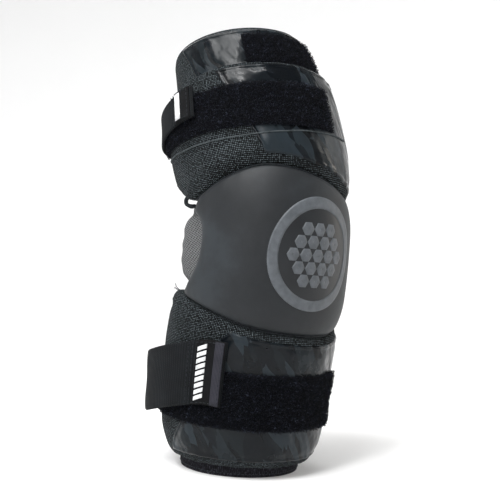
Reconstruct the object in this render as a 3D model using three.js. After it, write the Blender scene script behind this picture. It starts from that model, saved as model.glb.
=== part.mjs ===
import * as THREE from 'three';
import { mergeVertices } from 'three/addons/utils/BufferGeometryUtils.js';

// Lacrosse arm pad, standing on its forearm rim.
// Shares run up the arm from 0 at the forearm rim to 1 at the top of the bicep cap.
// Angles run round the arm in degrees: 0 is the point of the elbow (-Y), 90 is +X.

// Driving sizes of the arm form, in millimetres
const ARM_LENGTH = 322;
const ELBOW_HALF_WIDTH = 50.5;
const ELBOW_HALF_DEPTH = 54;
const ELBOW_BOW = 17;
const SLEEVE_TOP = 290;

// Thicknesses in millimetres, and how far the slack sleeve stands out behind the elbow
const SLEEVE_WALL = 2.2;
const SLEEVE_SLACK = 11;
const GUARD_THICKNESS = 13;
const ELBOW_THICKNESS = 15;
const BICEP_THICKNESS = 6;
const FILM_THICKNESS = 0.8;
const LOOP_THICKNESS = 2;
const STRAP_THICKNESS = 1.6;
const TAB_THICKNESS = 1.5;
const BINDING_WALL = 1.2;

// Clearances in millimetres: under the pads, between thin layers, and along the two seams
// of the elbow cap
const PAD_GAP = 0.65;
const LAYER_GAP = 0.45;
const SEAM_GAP = 1.2;

// Bands, straps and trim, in millimetres along the arm
const BINDING_HEIGHT = 13;
const FOREARM_BAND_WIDTH = 41;
const FOREARM_STRAP_WIDTH = 46;
const FOREARM_STRAP_BULGE = 7;
const FOREARM_STRAP_DROP = 20;
const UPPER_BAND_WIDTH = 31;
const UPPER_STRAP_WIDTH = 24;
const UPPER_STRAP_BULGE = 0.5;
const UPPER_STRAP_DROP = 5;
const BICEP_PATCH_WIDTH = 24;
const TUCK_DEPTH = 9;
const BADGE_RADIUS = 40;

// How far the films' edges keep from the seams and free edges, in millimetres along the arm
const FILM_SEAM_INSET = 6;
const UPPER_FILM_INSET = 2;
const BICEP_FILM_LOW_INSET = 1.6;
const BICEP_FILM_HIGH_INSET = 2.6;

// How far the pads reach round the arm from their middles, in degrees
const GUARD_REACH = 142;
const ELBOW_REACH = 89;
const BICEP_REACH = 99;
const BICEP_MIDDLE = -51;

// Column and row spacing of the faceted pads
const FACET_ANGLE = 9;
const FACET_HEIGHT = 18;
const SLEEVE_COLUMNS = 36;
const BADGE_RINGS = 4;
const BADGE_SECTORS = 20;
const FILM_ROWS = [0, 0.03, 0.07, 0.14, 0.28, 0.43, 0.57, 0.72, 0.86, 0.93, 0.97, 1];
const BICEP_FILM_ROWS = [0, 0.25, 0.5, 0.7, 0.82, 0.92, 1];
const BAND_ROWS = 4;
const STRAP_ROWS = 2;

// The arm form, a row for each section: bow is a share of ELBOW_BOW, positive towards
// the inner arm, lean is in degrees, wide is a share of ELBOW_HALF_WIDTH, and front
// and back are shares of ELBOW_HALF_DEPTH
const ARM_SECTIONS = [
  { at: 0.00, bow: -0.22, lean: 0, wide: 0.86, front: 0.79, back: 0.82 },
  { at: 0.05, bow: -0.22, lean: -2, wide: 0.89, front: 0.82, back: 0.86 },
  { at: 0.10, bow: -0.22, lean: -3, wide: 0.94, front: 0.85, back: 0.92 },
  { at: 0.20, bow: -0.32, lean: -4, wide: 0.98, front: 0.89, back: 0.95 },
  { at: 0.33, bow: -0.59, lean: -4, wide: 1.02, front: 0.95, back: 0.93 },
  { at: 0.42, bow: -0.82, lean: -3, wide: 1.01, front: 0.98, back: 0.91 },
  { at: 0.56, bow: -1.00, lean: 2, wide: 1.00, front: 1.00, back: 0.92 },
  { at: 0.65, bow: -0.82, lean: 7, wide: 1.02, front: 0.99, back: 0.93 },
  { at: 0.75, bow: -0.34, lean: 11, wide: 1.09, front: 0.97, back: 1.00 },
  { at: 0.88, bow: 0.42, lean: 14, wide: 1.04, front: 0.90, back: 0.94 },
  { at: 1.00, bow: 1.35, lean: 16, wide: 0.99, front: 0.86, back: 0.85 },
];

// Heights of the sleeve's rows, as shares of the arm, and its slack there as a share of
// SLEEVE_SLACK: it hangs loose behind the elbow, between the two guards
const SLEEVE_FORM = [
  { at: 0.05, slack: 0 }, { at: 0.10, slack: 0 }, { at: 0.155, slack: 0 }, { at: 0.21, slack: 0 },
  { at: 0.265, slack: 0 }, { at: 0.32, slack: 0 }, { at: 0.365, slack: 0 }, { at: 0.414, slack: 0 },
  { at: 0.45, slack: 0.75 }, { at: 0.52, slack: 1 }, { at: 0.575, slack: 0.9 }, { at: 0.608, slack: 0.4 },
  { at: 0.63, slack: 0 }, { at: 0.68, slack: 0 }, { at: 0.735, slack: 0 }, { at: 0.79, slack: 0 },
  { at: 0.845, slack: 0 },
];
// The slack starts this far round the arm on both sides, and is full from there to the back
const SLACK_START = 100;
const SLACK_FULL = 128;

// Seam between elbow cap and upper guard, and the guards' free edges, by angle
const UPPER_SEAM = [
  { at: -142, share: 0.665 }, { at: -118, share: 0.640 }, { at: -100, share: 0.617 },
  { at: -85, share: 0.630 }, { at: -65, share: 0.655 }, { at: -37, share: 0.674 },
  { at: 0, share: 0.656 }, { at: 35, share: 0.630 }, { at: 90, share: 0.612 },
  { at: 118, share: 0.640 }, { at: 142, share: 0.665 },
];
const UPPER_RIM = [
  { at: -142, share: 0.850 }, { at: -118, share: 0.865 }, { at: -95, share: 0.873 },
  { at: -80, share: 0.888 }, { at: -40, share: 0.895 }, { at: 45, share: 0.895 },
  { at: 95, share: 0.885 }, { at: 142, share: 0.850 },
];
const LOWER_SEAM = [
  { at: -142, share: 0.400 }, { at: -118, share: 0.408 }, { at: -90, share: 0.390 },
  { at: -65, share: 0.368 }, { at: -45, share: 0.349 }, { at: -20, share: 0.339 },
  { at: 15, share: 0.335 }, { at: 45, share: 0.346 }, { at: 90, share: 0.390 },
  { at: 118, share: 0.412 }, { at: 142, share: 0.405 },
];

// The upper guard's inside steps out over the bicep cap between these places up the guard,
// and back in again past the cap's end, in degrees
const LIP_START = 0.76;
const LIP_FULL = 0.83;
const LIP_END_START = 6;
const LIP_END_FULL = 20;

// Side edges of the pads, from the lower edge (0) to the upper edge (1), as shares of a reach
const GUARD_SIDES = [
  { at: 0, reach: 0.90 }, { at: 0.12, reach: 0.97 }, { at: 0.35, reach: 1.0 },
  { at: 0.65, reach: 1.0 }, { at: 0.88, reach: 0.97 }, { at: 1, reach: 0.90 },
];
const ELBOW_SIDES = [
  { at: 0, reach: 1.20 }, { at: 0.10, reach: 1.13 }, { at: 0.35, reach: 1.0 },
  { at: 0.70, reach: 0.98 }, { at: 0.90, reach: 1.08 }, { at: 1, reach: 1.06 },
];
const BICEP_SIDES = [
  { at: 0, left: 0.98, right: 0.98 }, { at: 0.30, left: 1.0, right: 1.0 },
  { at: 0.60, left: 0.99, right: 0.95 }, { at: 0.85, left: 0.96, right: 0.80 },
  { at: 1, left: 0.90, right: 0.60 },
];

// Slanting side edges of the films, in degrees, from lower to upper edge
const FOREARM_FILM_SIDES = [
  { at: 0, left: -98, right: 66 }, { at: 0.30, left: -80, right: 63 },
  { at: 0.85, left: -61, right: 60 }, { at: 1, left: -52, right: 54 },
];
const UPPER_FILM_SIDES = [
  { at: 0, left: -36, right: 56 }, { at: 0.35, left: -44, right: 62 }, { at: 1, left: -61, right: 68 },
];
const BICEP_FILM_SIDES = [
  { at: 0, left: -80, right: 36 }, { at: 0.6, left: -88, right: 32 }, { at: 1, left: -95, right: 13 },
];

// Strap courses by angle, round the back to the far guard: over is 1 on the loop band
// and 0 on the guard, and bulge and drop are shares of the strap's bulge and drop
const FOREARM_STRAP_COURSE = [
  { at: -240, over: 0, bulge: 0, drop: 1 }, { at: -215, over: 0, bulge: 0, drop: 1 },
  { at: -180, over: 0.1, bulge: 0.1, drop: 1 }, { at: -155, over: 0.7, bulge: 0.7, drop: 1 },
  { at: -128, over: 1, bulge: 1, drop: 1 }, { at: -85, over: 1, bulge: 0.25, drop: 0.3 },
  { at: -65, over: 1, bulge: 0, drop: 0 }, { at: -51, over: 1, bulge: 0, drop: 0 },
];
const UPPER_STRAP_COURSE = [
  { at: -240, over: 0, bulge: 0, drop: 1 }, { at: -215, over: 0, bulge: 0, drop: 1 },
  { at: -180, over: 0.1, bulge: 0, drop: 1 }, { at: -150, over: 0.8, bulge: 0.6, drop: 1 },
  { at: -125, over: 1, bulge: 1, drop: 1 }, { at: -89, over: 1, bulge: 0, drop: 0.1 },
  { at: -76, over: 1, bulge: 0, drop: 0 },
];

// Places along the arm, in shares of its length
const BADGE_SHARE = 0.5025;
const FOREARM_BAND_SHARE = 0.185;
const FOREARM_STRAP_SHARE = 0.242;
const UPPER_BAND_SHARE = 0.797;
const UPPER_STRAP_SHARE = 0.825;
const BICEP_PATCH_SHARE = 0.937;
const FOREARM_GUARD_LOW = 0.043;
const FOREARM_FILM_LOW = 0.052;
const BICEP_HIGH = 0.995;

// The badge's middle in degrees, and its height as a share of its width on the flat form,
// because the cap's face is longer over the point of the elbow than the arm is
const BADGE_ANGLE = -3.5;
const BADGE_SQUEEZE = 0.89;

// Ends of the bands, patch and strips, in degrees
const FOREARM_BAND_ENDS = { left: -128, right: 46 };
const UPPER_BAND_ENDS = { left: -128, right: 15 };
const BICEP_PATCH_ENDS = { left: -38, right: 34 };
const FOREARM_TAB_ENDS = { left: -70, right: -52 };
const UPPER_TAB_ENDS = { left: -91, right: -78 };

const clamp = THREE.MathUtils.clamp;
const lerp = THREE.MathUtils.lerp;
const radians = THREE.MathUtils.degToRad;
const smoothStep = THREE.MathUtils.smoothstep;

// Reads one column of a table between its rows, along a smooth curve
function readTable(rows, column, place) {
  const last = rows.length - 1;
  let row = 0;
  while (row < last - 1 && place > rows[row + 1].at) row += 1;
  const slopeAt = (index) => {
    const before = rows[Math.max(index - 1, 0)];
    const after = rows[Math.min(index + 1, last)];
    return (after[column] - before[column]) / (after.at - before.at);
  };
  const low = rows[row];
  const high = rows[row + 1];
  const step = high.at - low.at;
  const t = clamp((place - low.at) / step, 0, 1);
  const blend = t * t * (3 - 2 * t);
  const startPull = t * (1 - t) * (1 - t) * step * slopeAt(row);
  const endPull = t * t * (t - 1) * step * slopeAt(row + 1);
  return lerp(low[column], high[column], blend) + startPull + endPull;
}

// A point on the arm form, moved out from the sleeve's outer face by an offset
function armPoint(share, angle, offset) {
  const section = (column) => readTable(ARM_SECTIONS, column, share);
  const lean = radians(section('lean'));
  const across = Math.sin(radians(angle));
  const ahead = Math.cos(radians(angle));
  const side = ahead > 0 ? section('front') : section('back');
  const halfWidth = section('wide') * ELBOW_HALF_WIDTH + offset;
  const halfDepth = side * ELBOW_HALF_DEPTH + offset;
  return new THREE.Vector3(
    halfWidth * across,
    section('bow') * ELBOW_BOW - halfDepth * ahead * Math.cos(lean),
    share * ARM_LENGTH + halfDepth * ahead * Math.sin(lean),
  );
}

const evenStops = (count) => Array.from({ length: count + 1 }, (_, index) => index / count);

// Stops from 0 to 1 that crowd together where a pad rounds over its edges
function roundedStops(length, startRound, endRound, spacing) {
  const crowd = [0, 0.12, 0.5];
  const start = Math.min(startRound / length, 0.4);
  const end = Math.min(endRound / length, 0.4);
  const count = Math.max(1, Math.round(((1 - start - end) * length) / spacing));
  const middle = evenStops(count).map((stop) => lerp(start, 1 - end, stop));
  return [
    ...crowd.map((share) => share * start),
    ...middle,
    ...crowd.map((share) => 1 - share * end).reverse(),
  ];
}

// Where a piece's own (across, up) place lies on the arm form
function placeOn(outline, across, up) {
  const angle = lerp(outline.left(up), outline.right(up), across);
  const share = lerp(outline.low(angle), outline.high(angle), up);
  return { angle, share };
}

// Thickness of a pad at a place on the arm form: full inside, rounding over its edges
function padHeight(pad, share, angle) {
  const low = pad.outline.low(angle);
  const high = pad.outline.high(angle);
  const up = (share - low) / (high - low);
  const left = pad.outline.left(clamp(up, 0, 1));
  const right = pad.outline.right(clamp(up, 0, 1));
  const degreeLength = radians(ELBOW_HALF_WIDTH + pad.thickness);
  const rise = (distance, edge) => {
    const inside = clamp(distance / edge.round, 0, 1);
    return edge.share + (1 - edge.share) * Math.sqrt(1 - (1 - inside) ** 2);
  };
  return pad.thickness
    * rise((share - low) * ARM_LENGTH, pad.lowEdge)
    * rise((high - share) * ARM_LENGTH, pad.highEdge)
    * rise((angle - left) * degreeLength, pad.sideEdge)
    * rise((right - angle) * degreeLength, pad.sideEdge);
}

// How far the loose sleeve stands out from the arm form, behind the elbow
function sleeveSlack(share, angle) {
  const behind = smoothStep(Math.min(angle, 360 - angle), SLACK_START, SLACK_FULL);
  return SLEEVE_SLACK * readTable(SLEEVE_FORM, 'slack', share) * behind;
}

// Adds the two triangles of a quad whose corners run anticlockwise seen from outside
function addQuad(faces, a, b, c, d) {
  faces.push(a, b, c, a, c, d);
}

function finishMesh(name, positions, faces, color, roughness) {
  const geometry = new THREE.BufferGeometry();
  geometry.setAttribute('position', new THREE.Float32BufferAttribute(positions, 3));
  geometry.setIndex(faces);
  const merged = mergeVertices(geometry, 1e-4);
  merged.computeVertexNormals();
  const material = new THREE.MeshStandardMaterial({ color, roughness, metalness: 0 });
  const mesh = new THREE.Mesh(merged, material);
  mesh.name = name;
  return mesh;
}

// A closed curved slab: an outer and an inner face over one outline, joined round the edge
function makeSlab({ name, outline, inner, outer, columns, rows, color, roughness }) {
  const positions = [];
  const faces = [];
  const width = columns.length;
  const height = rows.length;
  for (const offsetAt of [outer, inner]) {
    for (const up of rows) {
      for (const across of columns) {
        const { angle, share } = placeOn(outline, across, up);
        positions.push(...armPoint(share, angle, offsetAt(share, angle)).toArray());
      }
    }
  }
  const outside = (column, row) => row * width + column;
  const inside = (column, row) => width * height + row * width + column;
  for (let row = 0; row < height - 1; row += 1) {
    for (let column = 0; column < width - 1; column += 1) {
      const corners = [[column, row], [column + 1, row], [column + 1, row + 1], [column, row + 1]];
      addQuad(faces, ...corners.map((corner) => outside(...corner)));
      addQuad(faces, ...corners.map((corner) => inside(...corner)).reverse());
    }
  }
  const rim = [];
  for (let column = 0; column < width - 1; column += 1) rim.push([column, 0]);
  for (let row = 0; row < height - 1; row += 1) rim.push([width - 1, row]);
  for (let column = width - 1; column > 0; column -= 1) rim.push([column, height - 1]);
  for (let row = height - 1; row > 0; row -= 1) rim.push([0, row]);
  rim.forEach((from, index) => {
    const to = rim[(index + 1) % rim.length];
    addQuad(faces, outside(...to), outside(...from), inside(...from), inside(...to));
  });
  return finishMesh(name, positions, faces, color, roughness);
}

// A closed ring swept round the arm from a closed profile of (share, offset) corners
function makeRing({ name, profile, columns, color, roughness, standOut = () => 0 }) {
  const positions = [];
  const faces = [];
  const count = profile.length;
  for (let column = 0; column < columns; column += 1) {
    const angle = (360 * column) / columns;
    for (const { share, offset } of profile) {
      positions.push(...armPoint(share, angle, offset + standOut(share, angle)).toArray());
    }
  }
  for (let column = 0; column < columns; column += 1) {
    const next = (column + 1) % columns;
    for (let corner = 0; corner < count; corner += 1) {
      const after = (corner + 1) % count;
      addQuad(faces, column * count + corner, next * count + corner,
        next * count + after, column * count + after);
    }
  }
  return finishMesh(name, positions, faces, color, roughness);
}

// A closed round panel that follows the face below it
function makeDisc(disc) {
  const { name, share, middle, squeeze, radius, inner, outer, rings, sectors, color, roughness } = disc;
  const positions = [];
  const faces = [];
  const stride = 1 + rings * sectors;
  const degreeLength = radians(ELBOW_HALF_DEPTH + ELBOW_THICKNESS);
  for (const offsetAt of [outer, inner]) {
    for (let spot = 0; spot < stride; spot += 1) {
      const ring = Math.ceil(spot / sectors);
      const turn = (2 * Math.PI * ((spot - 1) % sectors)) / sectors;
      const reach = (radius * ring) / rings;
      const angle = middle + (reach * Math.sin(turn)) / degreeLength;
      const height = share - (squeeze * reach * Math.cos(turn)) / ARM_LENGTH;
      positions.push(...armPoint(height, angle, offsetAt(height, angle)).toArray());
    }
  }
  const spotAt = (ring, sector) => (ring === 0 ? 0 : 1 + (ring - 1) * sectors + (sector % sectors));
  for (let sector = 0; sector < sectors; sector += 1) {
    faces.push(0, spotAt(1, sector), spotAt(1, sector + 1));
    faces.push(stride, stride + spotAt(1, sector + 1), stride + spotAt(1, sector));
    for (let ring = 1; ring < rings; ring += 1) {
      const corners = [spotAt(ring, sector), spotAt(ring + 1, sector),
        spotAt(ring + 1, sector + 1), spotAt(ring, sector + 1)];
      addQuad(faces, ...corners);
      addQuad(faces, ...corners.map((corner) => corner + stride).reverse());
    }
    const from = spotAt(rings, sector);
    const to = spotAt(rings, sector + 1);
    addQuad(faces, to, from, from + stride, to + stride);
  }
  return finishMesh(name, positions, faces, color, roughness);
}

// Outline of a pad whose side edges follow a table on both sides of the elbow's point
function padOutline(low, high, sides, reach) {
  return {
    low,
    high,
    left: (up) => -reach * readTable(sides, 'reach', up),
    right: (up) => reach * readTable(sides, 'reach', up),
  };
}

// Outline of a straight band of one width between two end angles
function bandOutline(share, width, ends, drop = () => 0) {
  const half = width / ARM_LENGTH / 2;
  const middle = (angle) => share - drop(angle) / ARM_LENGTH;
  return {
    low: (angle) => middle(angle) - half,
    high: (angle) => middle(angle) + half,
    left: () => ends.left,
    right: () => ends.right,
  };
}

const seamHalf = SEAM_GAP / ARM_LENGTH / 2;
const upperSeam = (angle) => readTable(UPPER_SEAM, 'share', angle);
const lowerSeam = (angle) => readTable(LOWER_SEAM, 'share', angle);
const upperRim = (angle) => readTable(UPPER_RIM, 'share', angle);

// The four pads
const forearmGuard = {
  thickness: GUARD_THICKNESS,
  outline: padOutline(() => FOREARM_GUARD_LOW, (angle) => lowerSeam(angle) - seamHalf,
    GUARD_SIDES, GUARD_REACH),
  lowEdge: { share: 0.34, round: 22 },
  highEdge: { share: 0.62, round: 11 },
  sideEdge: { share: 0.35, round: 16 },
};
const upperGuard = {
  thickness: GUARD_THICKNESS,
  outline: padOutline((angle) => upperSeam(angle) + seamHalf, upperRim, GUARD_SIDES, GUARD_REACH),
  lowEdge: { share: 0.62, round: 11 },
  highEdge: { share: 0.86, round: 5 },
  sideEdge: { share: 0.62, round: 16 },
};
const elbowCap = {
  thickness: ELBOW_THICKNESS,
  outline: padOutline((angle) => lowerSeam(angle) + seamHalf, (angle) => upperSeam(angle) - seamHalf,
    ELBOW_SIDES, ELBOW_REACH),
  lowEdge: { share: 0.60, round: 24 },
  highEdge: { share: 0.60, round: 24 },
  sideEdge: { share: 0.40, round: 16 },
};
const bicepCap = {
  thickness: BICEP_THICKNESS,
  outline: {
    low: (angle) => upperRim(angle) - TUCK_DEPTH / ARM_LENGTH,
    high: () => BICEP_HIGH,
    left: (up) => BICEP_MIDDLE - BICEP_REACH * readTable(BICEP_SIDES, 'left', up),
    right: (up) => BICEP_MIDDLE + BICEP_REACH * readTable(BICEP_SIDES, 'right', up),
  },
  lowEdge: { share: 0.8, round: 4 },
  highEdge: { share: 0.7, round: 6 },
  sideEdge: { share: 0.6, round: 9 },
};

// Outer faces that the skins, bands and straps lie on, as offsets from the sleeve
const faceOf = (pad) => (share, angle) => PAD_GAP + padHeight(pad, share, angle);
const overFilm = FILM_THICKNESS + 2 * LAYER_GAP;
const raised = (face, lift) => (share, angle) => face(share, angle) + lift;

// The upper guard's lip steps out over the bicep cap where that is tucked under it
function tuckedSeat(share, angle) {
  const { low, high } = upperGuard.outline;
  const up = (share - low(angle)) / (high(angle) - low(angle));
  const capEnd = BICEP_MIDDLE + BICEP_REACH;
  const beside = 1 - smoothStep(angle, capEnd + LIP_END_START, capEnd + LIP_END_FULL);
  return PAD_GAP + (BICEP_THICKNESS + PAD_GAP) * beside * smoothStep(up, LIP_START, LIP_FULL);
}

function makePad(name, pad, seat, color, roughness, extraRows = []) {
  const { low, high, left, right } = pad.outline;
  const middle = (left(0.5) + right(0.5)) / 2;
  const degreeLength = radians(ELBOW_HALF_WIDTH + pad.thickness);
  const width = (right(0.5) - left(0.5)) * degreeLength;
  const height = (high(middle) - low(middle)) * ARM_LENGTH;
  const rows = roundedStops(height, pad.lowEdge.round, pad.highEdge.round, FACET_HEIGHT);
  return makeSlab({
    name,
    outline: pad.outline,
    inner: seat,
    outer: faceOf(pad),
    columns: roundedStops(width, pad.sideEdge.round, pad.sideEdge.round, FACET_ANGLE * degreeLength),
    rows: [...rows, ...extraRows].sort((a, b) => a - b),
    color,
    roughness,
  });
}

// A thin layer of one thickness over a face
function makeLayer(name, outline, face, thickness, rows, color, roughness) {
  const count = Math.ceil((outline.right(0) - outline.left(0)) / FACET_ANGLE);
  return makeSlab({
    name,
    outline,
    inner: raised(face, LAYER_GAP),
    outer: raised(face, LAYER_GAP + thickness),
    columns: evenStops(count),
    rows,
    color,
    roughness,
  });
}

function filmOutline(low, high, sides) {
  return {
    low,
    high,
    left: (up) => readTable(sides, 'left', up),
    right: (up) => readTable(sides, 'right', up),
  };
}

// The face that a strap's inside follows: off the loop band, round the back, onto the guard
function strapFace(course, bulge) {
  return (share, angle) => {
    const over = readTable(course, 'over', angle) * (overFilm + LOOP_THICKNESS);
    return PAD_GAP + GUARD_THICKNESS + over + bulge * readTable(course, 'bulge', angle);
  };
}

function strapOutline(share, width, course, drop) {
  return bandOutline(share, width, { left: course[0].at, right: course[course.length - 1].at }, drop);
}

const MESH_CLOTH = 0x23292a;
const FILM = 0x2a2e30;
const LOOP_PILE = 0x11131a;
const WEBBING = 0x343a3c;
const LABEL = 0x1a1c1f;
const KNIT = 0x888482;
const RIB_KNIT = 0x4a4a52;
const ELBOW_SKIN = 0x3c4244;
const PRINT = 0x4a4e52;

const sleeveTop = SLEEVE_TOP / ARM_LENGTH;
const sleeveFoot = (BINDING_WALL + LAYER_GAP) / ARM_LENGTH;
const sleeveRows = [sleeveFoot, ...SLEEVE_FORM.map((row) => row.at), sleeveTop];
const armSleeve = makeRing({
  name: 'arm_sleeve',
  profile: [
    ...sleeveRows.map((share) => ({ share, offset: 0 })),
    ...sleeveRows.map((share) => ({ share, offset: -SLEEVE_WALL })).reverse(),
  ],
  standOut: sleeveSlack,
  columns: SLEEVE_COLUMNS,
  color: KNIT,
  roughness: 0.95,
});

// The binding folds round the sleeve's foot, so its profile is a U
const bindingTop = BINDING_HEIGHT / ARM_LENGTH;
const innerFace = -SLEEVE_WALL - LAYER_GAP;
const wristBinding = makeRing({
  name: 'wrist_binding',
  profile: [
    { share: 0, offset: LAYER_GAP + BINDING_WALL },
    { share: bindingTop, offset: LAYER_GAP + BINDING_WALL },
    { share: bindingTop, offset: LAYER_GAP },
    { share: BINDING_WALL / ARM_LENGTH, offset: LAYER_GAP },
    { share: BINDING_WALL / ARM_LENGTH, offset: innerFace },
    { share: bindingTop, offset: innerFace },
    { share: bindingTop, offset: innerFace - BINDING_WALL },
    { share: 0, offset: innerFace - BINDING_WALL },
  ],
  columns: SLEEVE_COLUMNS,
  color: RIB_KNIT,
  roughness: 0.95,
});

const plainSeat = () => PAD_GAP;
const pads = [
  makePad('forearm_guard', forearmGuard, plainSeat, MESH_CLOTH, 0.9),
  makePad('elbow_cap', elbowCap, plainSeat, ELBOW_SKIN, 0.75),
  makePad('upper_guard', upperGuard, tuckedSeat, MESH_CLOTH, 0.9, [LIP_START, LIP_FULL]),
  makePad('bicep_cap', bicepCap, plainSeat, MESH_CLOTH, 0.9),
];

const seamInset = FILM_SEAM_INSET / ARM_LENGTH;
const forearmFilm = filmOutline(() => FOREARM_FILM_LOW, (angle) => lowerSeam(angle) - seamInset,
  FOREARM_FILM_SIDES);
const upperFilm = filmOutline((angle) => upperSeam(angle) + seamInset,
  (angle) => upperRim(angle) - UPPER_FILM_INSET / ARM_LENGTH, UPPER_FILM_SIDES);
const bicepFilm = filmOutline((angle) => upperRim(angle) + BICEP_FILM_LOW_INSET / ARM_LENGTH,
  () => BICEP_HIGH - BICEP_FILM_HIGH_INSET / ARM_LENGTH, BICEP_FILM_SIDES);
const films = [
  makeLayer('forearm_film', forearmFilm, faceOf(forearmGuard), FILM_THICKNESS, FILM_ROWS, FILM, 0.3),
  makeLayer('upper_film', upperFilm, faceOf(upperGuard), FILM_THICKNESS, FILM_ROWS, FILM, 0.3),
  makeLayer('bicep_film', bicepFilm, faceOf(bicepCap), FILM_THICKNESS, BICEP_FILM_ROWS, FILM, 0.3),
];

// Loop pile lies over the films
const bands = [
  ['forearm_loop_band', FOREARM_BAND_SHARE, FOREARM_BAND_WIDTH, FOREARM_BAND_ENDS, forearmGuard],
  ['upper_loop_band', UPPER_BAND_SHARE, UPPER_BAND_WIDTH, UPPER_BAND_ENDS, upperGuard],
  ['bicep_loop_patch', BICEP_PATCH_SHARE, BICEP_PATCH_WIDTH, BICEP_PATCH_ENDS, bicepCap],
].map(([name, share, width, ends, pad]) => {
  const face = raised(faceOf(pad), FILM_THICKNESS + LAYER_GAP);
  const outline = bandOutline(share, width, ends);
  return makeLayer(name, outline, face, LOOP_THICKNESS, evenStops(BAND_ROWS), LOOP_PILE, 0.95);
});

const straps = [
  ['forearm', FOREARM_STRAP_SHARE, FOREARM_STRAP_WIDTH, FOREARM_STRAP_COURSE, FOREARM_STRAP_BULGE,
    FOREARM_STRAP_DROP, FOREARM_TAB_ENDS],
  ['upper', UPPER_STRAP_SHARE, UPPER_STRAP_WIDTH, UPPER_STRAP_COURSE, UPPER_STRAP_BULGE,
    UPPER_STRAP_DROP, UPPER_TAB_ENDS],
].flatMap(([place, share, width, course, bulge, dropLength, tabEnds]) => {
  const drop = (angle) => dropLength * readTable(course, 'drop', angle);
  const face = strapFace(course, bulge);
  const tabFace = raised(face, LAYER_GAP + STRAP_THICKNESS);
  const outline = strapOutline(share, width, course, drop);
  const tabOutline = bandOutline(share, width, tabEnds, drop);
  return [
    makeLayer(`${place}_strap`, outline, face, STRAP_THICKNESS, evenStops(STRAP_ROWS), WEBBING, 0.85),
    makeLayer(`${place}_strap_tab`, tabOutline, tabFace, TAB_THICKNESS, evenStops(STRAP_ROWS), LABEL, 0.8),
  ];
});

const elbowBadge = makeDisc({
  name: 'elbow_badge',
  share: BADGE_SHARE,
  middle: BADGE_ANGLE,
  squeeze: BADGE_SQUEEZE,
  radius: BADGE_RADIUS,
  inner: raised(faceOf(elbowCap), LAYER_GAP),
  outer: raised(faceOf(elbowCap), LAYER_GAP + FILM_THICKNESS),
  rings: BADGE_RINGS,
  sectors: BADGE_SECTORS,
  color: PRINT,
  roughness: 0.6,
});

// The origin is under the middle of the whole pad, on the surface that it stands on
const armPad = new THREE.Group();
const standing = new THREE.Group();
standing.add(armSleeve, wristBinding, ...pads, ...films, ...bands, ...straps, elbowBadge);
armPad.add(standing);
const bounds = new THREE.Box3().setFromObject(standing);
const middle = bounds.getCenter(new THREE.Vector3());
standing.position.set(-middle.x, -middle.y, -bounds.min.z);

export default armPad;
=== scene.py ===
# %% [markdown]
# A lacrosse arm pad stands on its forearm rim: a knit sleeve with foam guards round the
# forearm and upper arm, a domed cap on the elbow, and a flap over the bicep. Every piece
# lies on the one below it, so the whole pad can be described as layers over the arm.
# This lesson builds those layers one at a time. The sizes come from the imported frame.

# %% Load the frame
import math
from functools import partial
import bpy
import numpy as np
from mathutils import Matrix, Vector
from mathutils.bvhtree import BVHTree


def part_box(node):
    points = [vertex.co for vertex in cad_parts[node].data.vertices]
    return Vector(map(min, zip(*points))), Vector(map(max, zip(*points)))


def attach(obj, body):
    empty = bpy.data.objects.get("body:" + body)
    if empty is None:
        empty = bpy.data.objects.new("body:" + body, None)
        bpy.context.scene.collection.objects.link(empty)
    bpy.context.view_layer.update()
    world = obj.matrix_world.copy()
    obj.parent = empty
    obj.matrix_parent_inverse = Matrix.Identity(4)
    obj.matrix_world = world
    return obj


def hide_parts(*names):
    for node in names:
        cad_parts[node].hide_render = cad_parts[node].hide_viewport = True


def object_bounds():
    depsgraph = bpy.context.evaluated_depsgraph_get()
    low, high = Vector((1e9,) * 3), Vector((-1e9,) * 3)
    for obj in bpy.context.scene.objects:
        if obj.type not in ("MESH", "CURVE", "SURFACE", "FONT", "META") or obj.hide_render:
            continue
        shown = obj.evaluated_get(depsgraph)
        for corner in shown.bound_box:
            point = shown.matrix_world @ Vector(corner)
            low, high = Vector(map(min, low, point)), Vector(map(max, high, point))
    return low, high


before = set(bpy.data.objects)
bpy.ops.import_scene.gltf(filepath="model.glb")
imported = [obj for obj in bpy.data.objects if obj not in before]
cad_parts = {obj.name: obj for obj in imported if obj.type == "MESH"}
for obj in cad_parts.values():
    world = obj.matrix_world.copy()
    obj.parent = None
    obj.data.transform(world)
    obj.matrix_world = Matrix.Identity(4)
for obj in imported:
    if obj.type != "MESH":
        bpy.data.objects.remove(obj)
cad_low, cad_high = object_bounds()
print("CAD box", [round(v, 4) for v in (*cad_low, *cad_high)])

# %% [markdown]
# The arm form is a stack of oval sections. A place on it is a share of the length, an
# angle round the arm, and an offset out from the sleeve. Three numbers are easier to think
# in than x, y and z, because a band or a strap is then a plain rectangle of shares and
# angles. Angle 0 is the point of the elbow, and 90 is the right side seen from it.

# %% The arm form
MM = 0.001
ARM_LENGTH = 322
ELBOW_HALF_WIDTH = 50.5
ELBOW_HALF_DEPTH = 54
ELBOW_BOW = 17
BINDING_OUT = 1.65
BINDING_HEIGHT = 13
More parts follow.
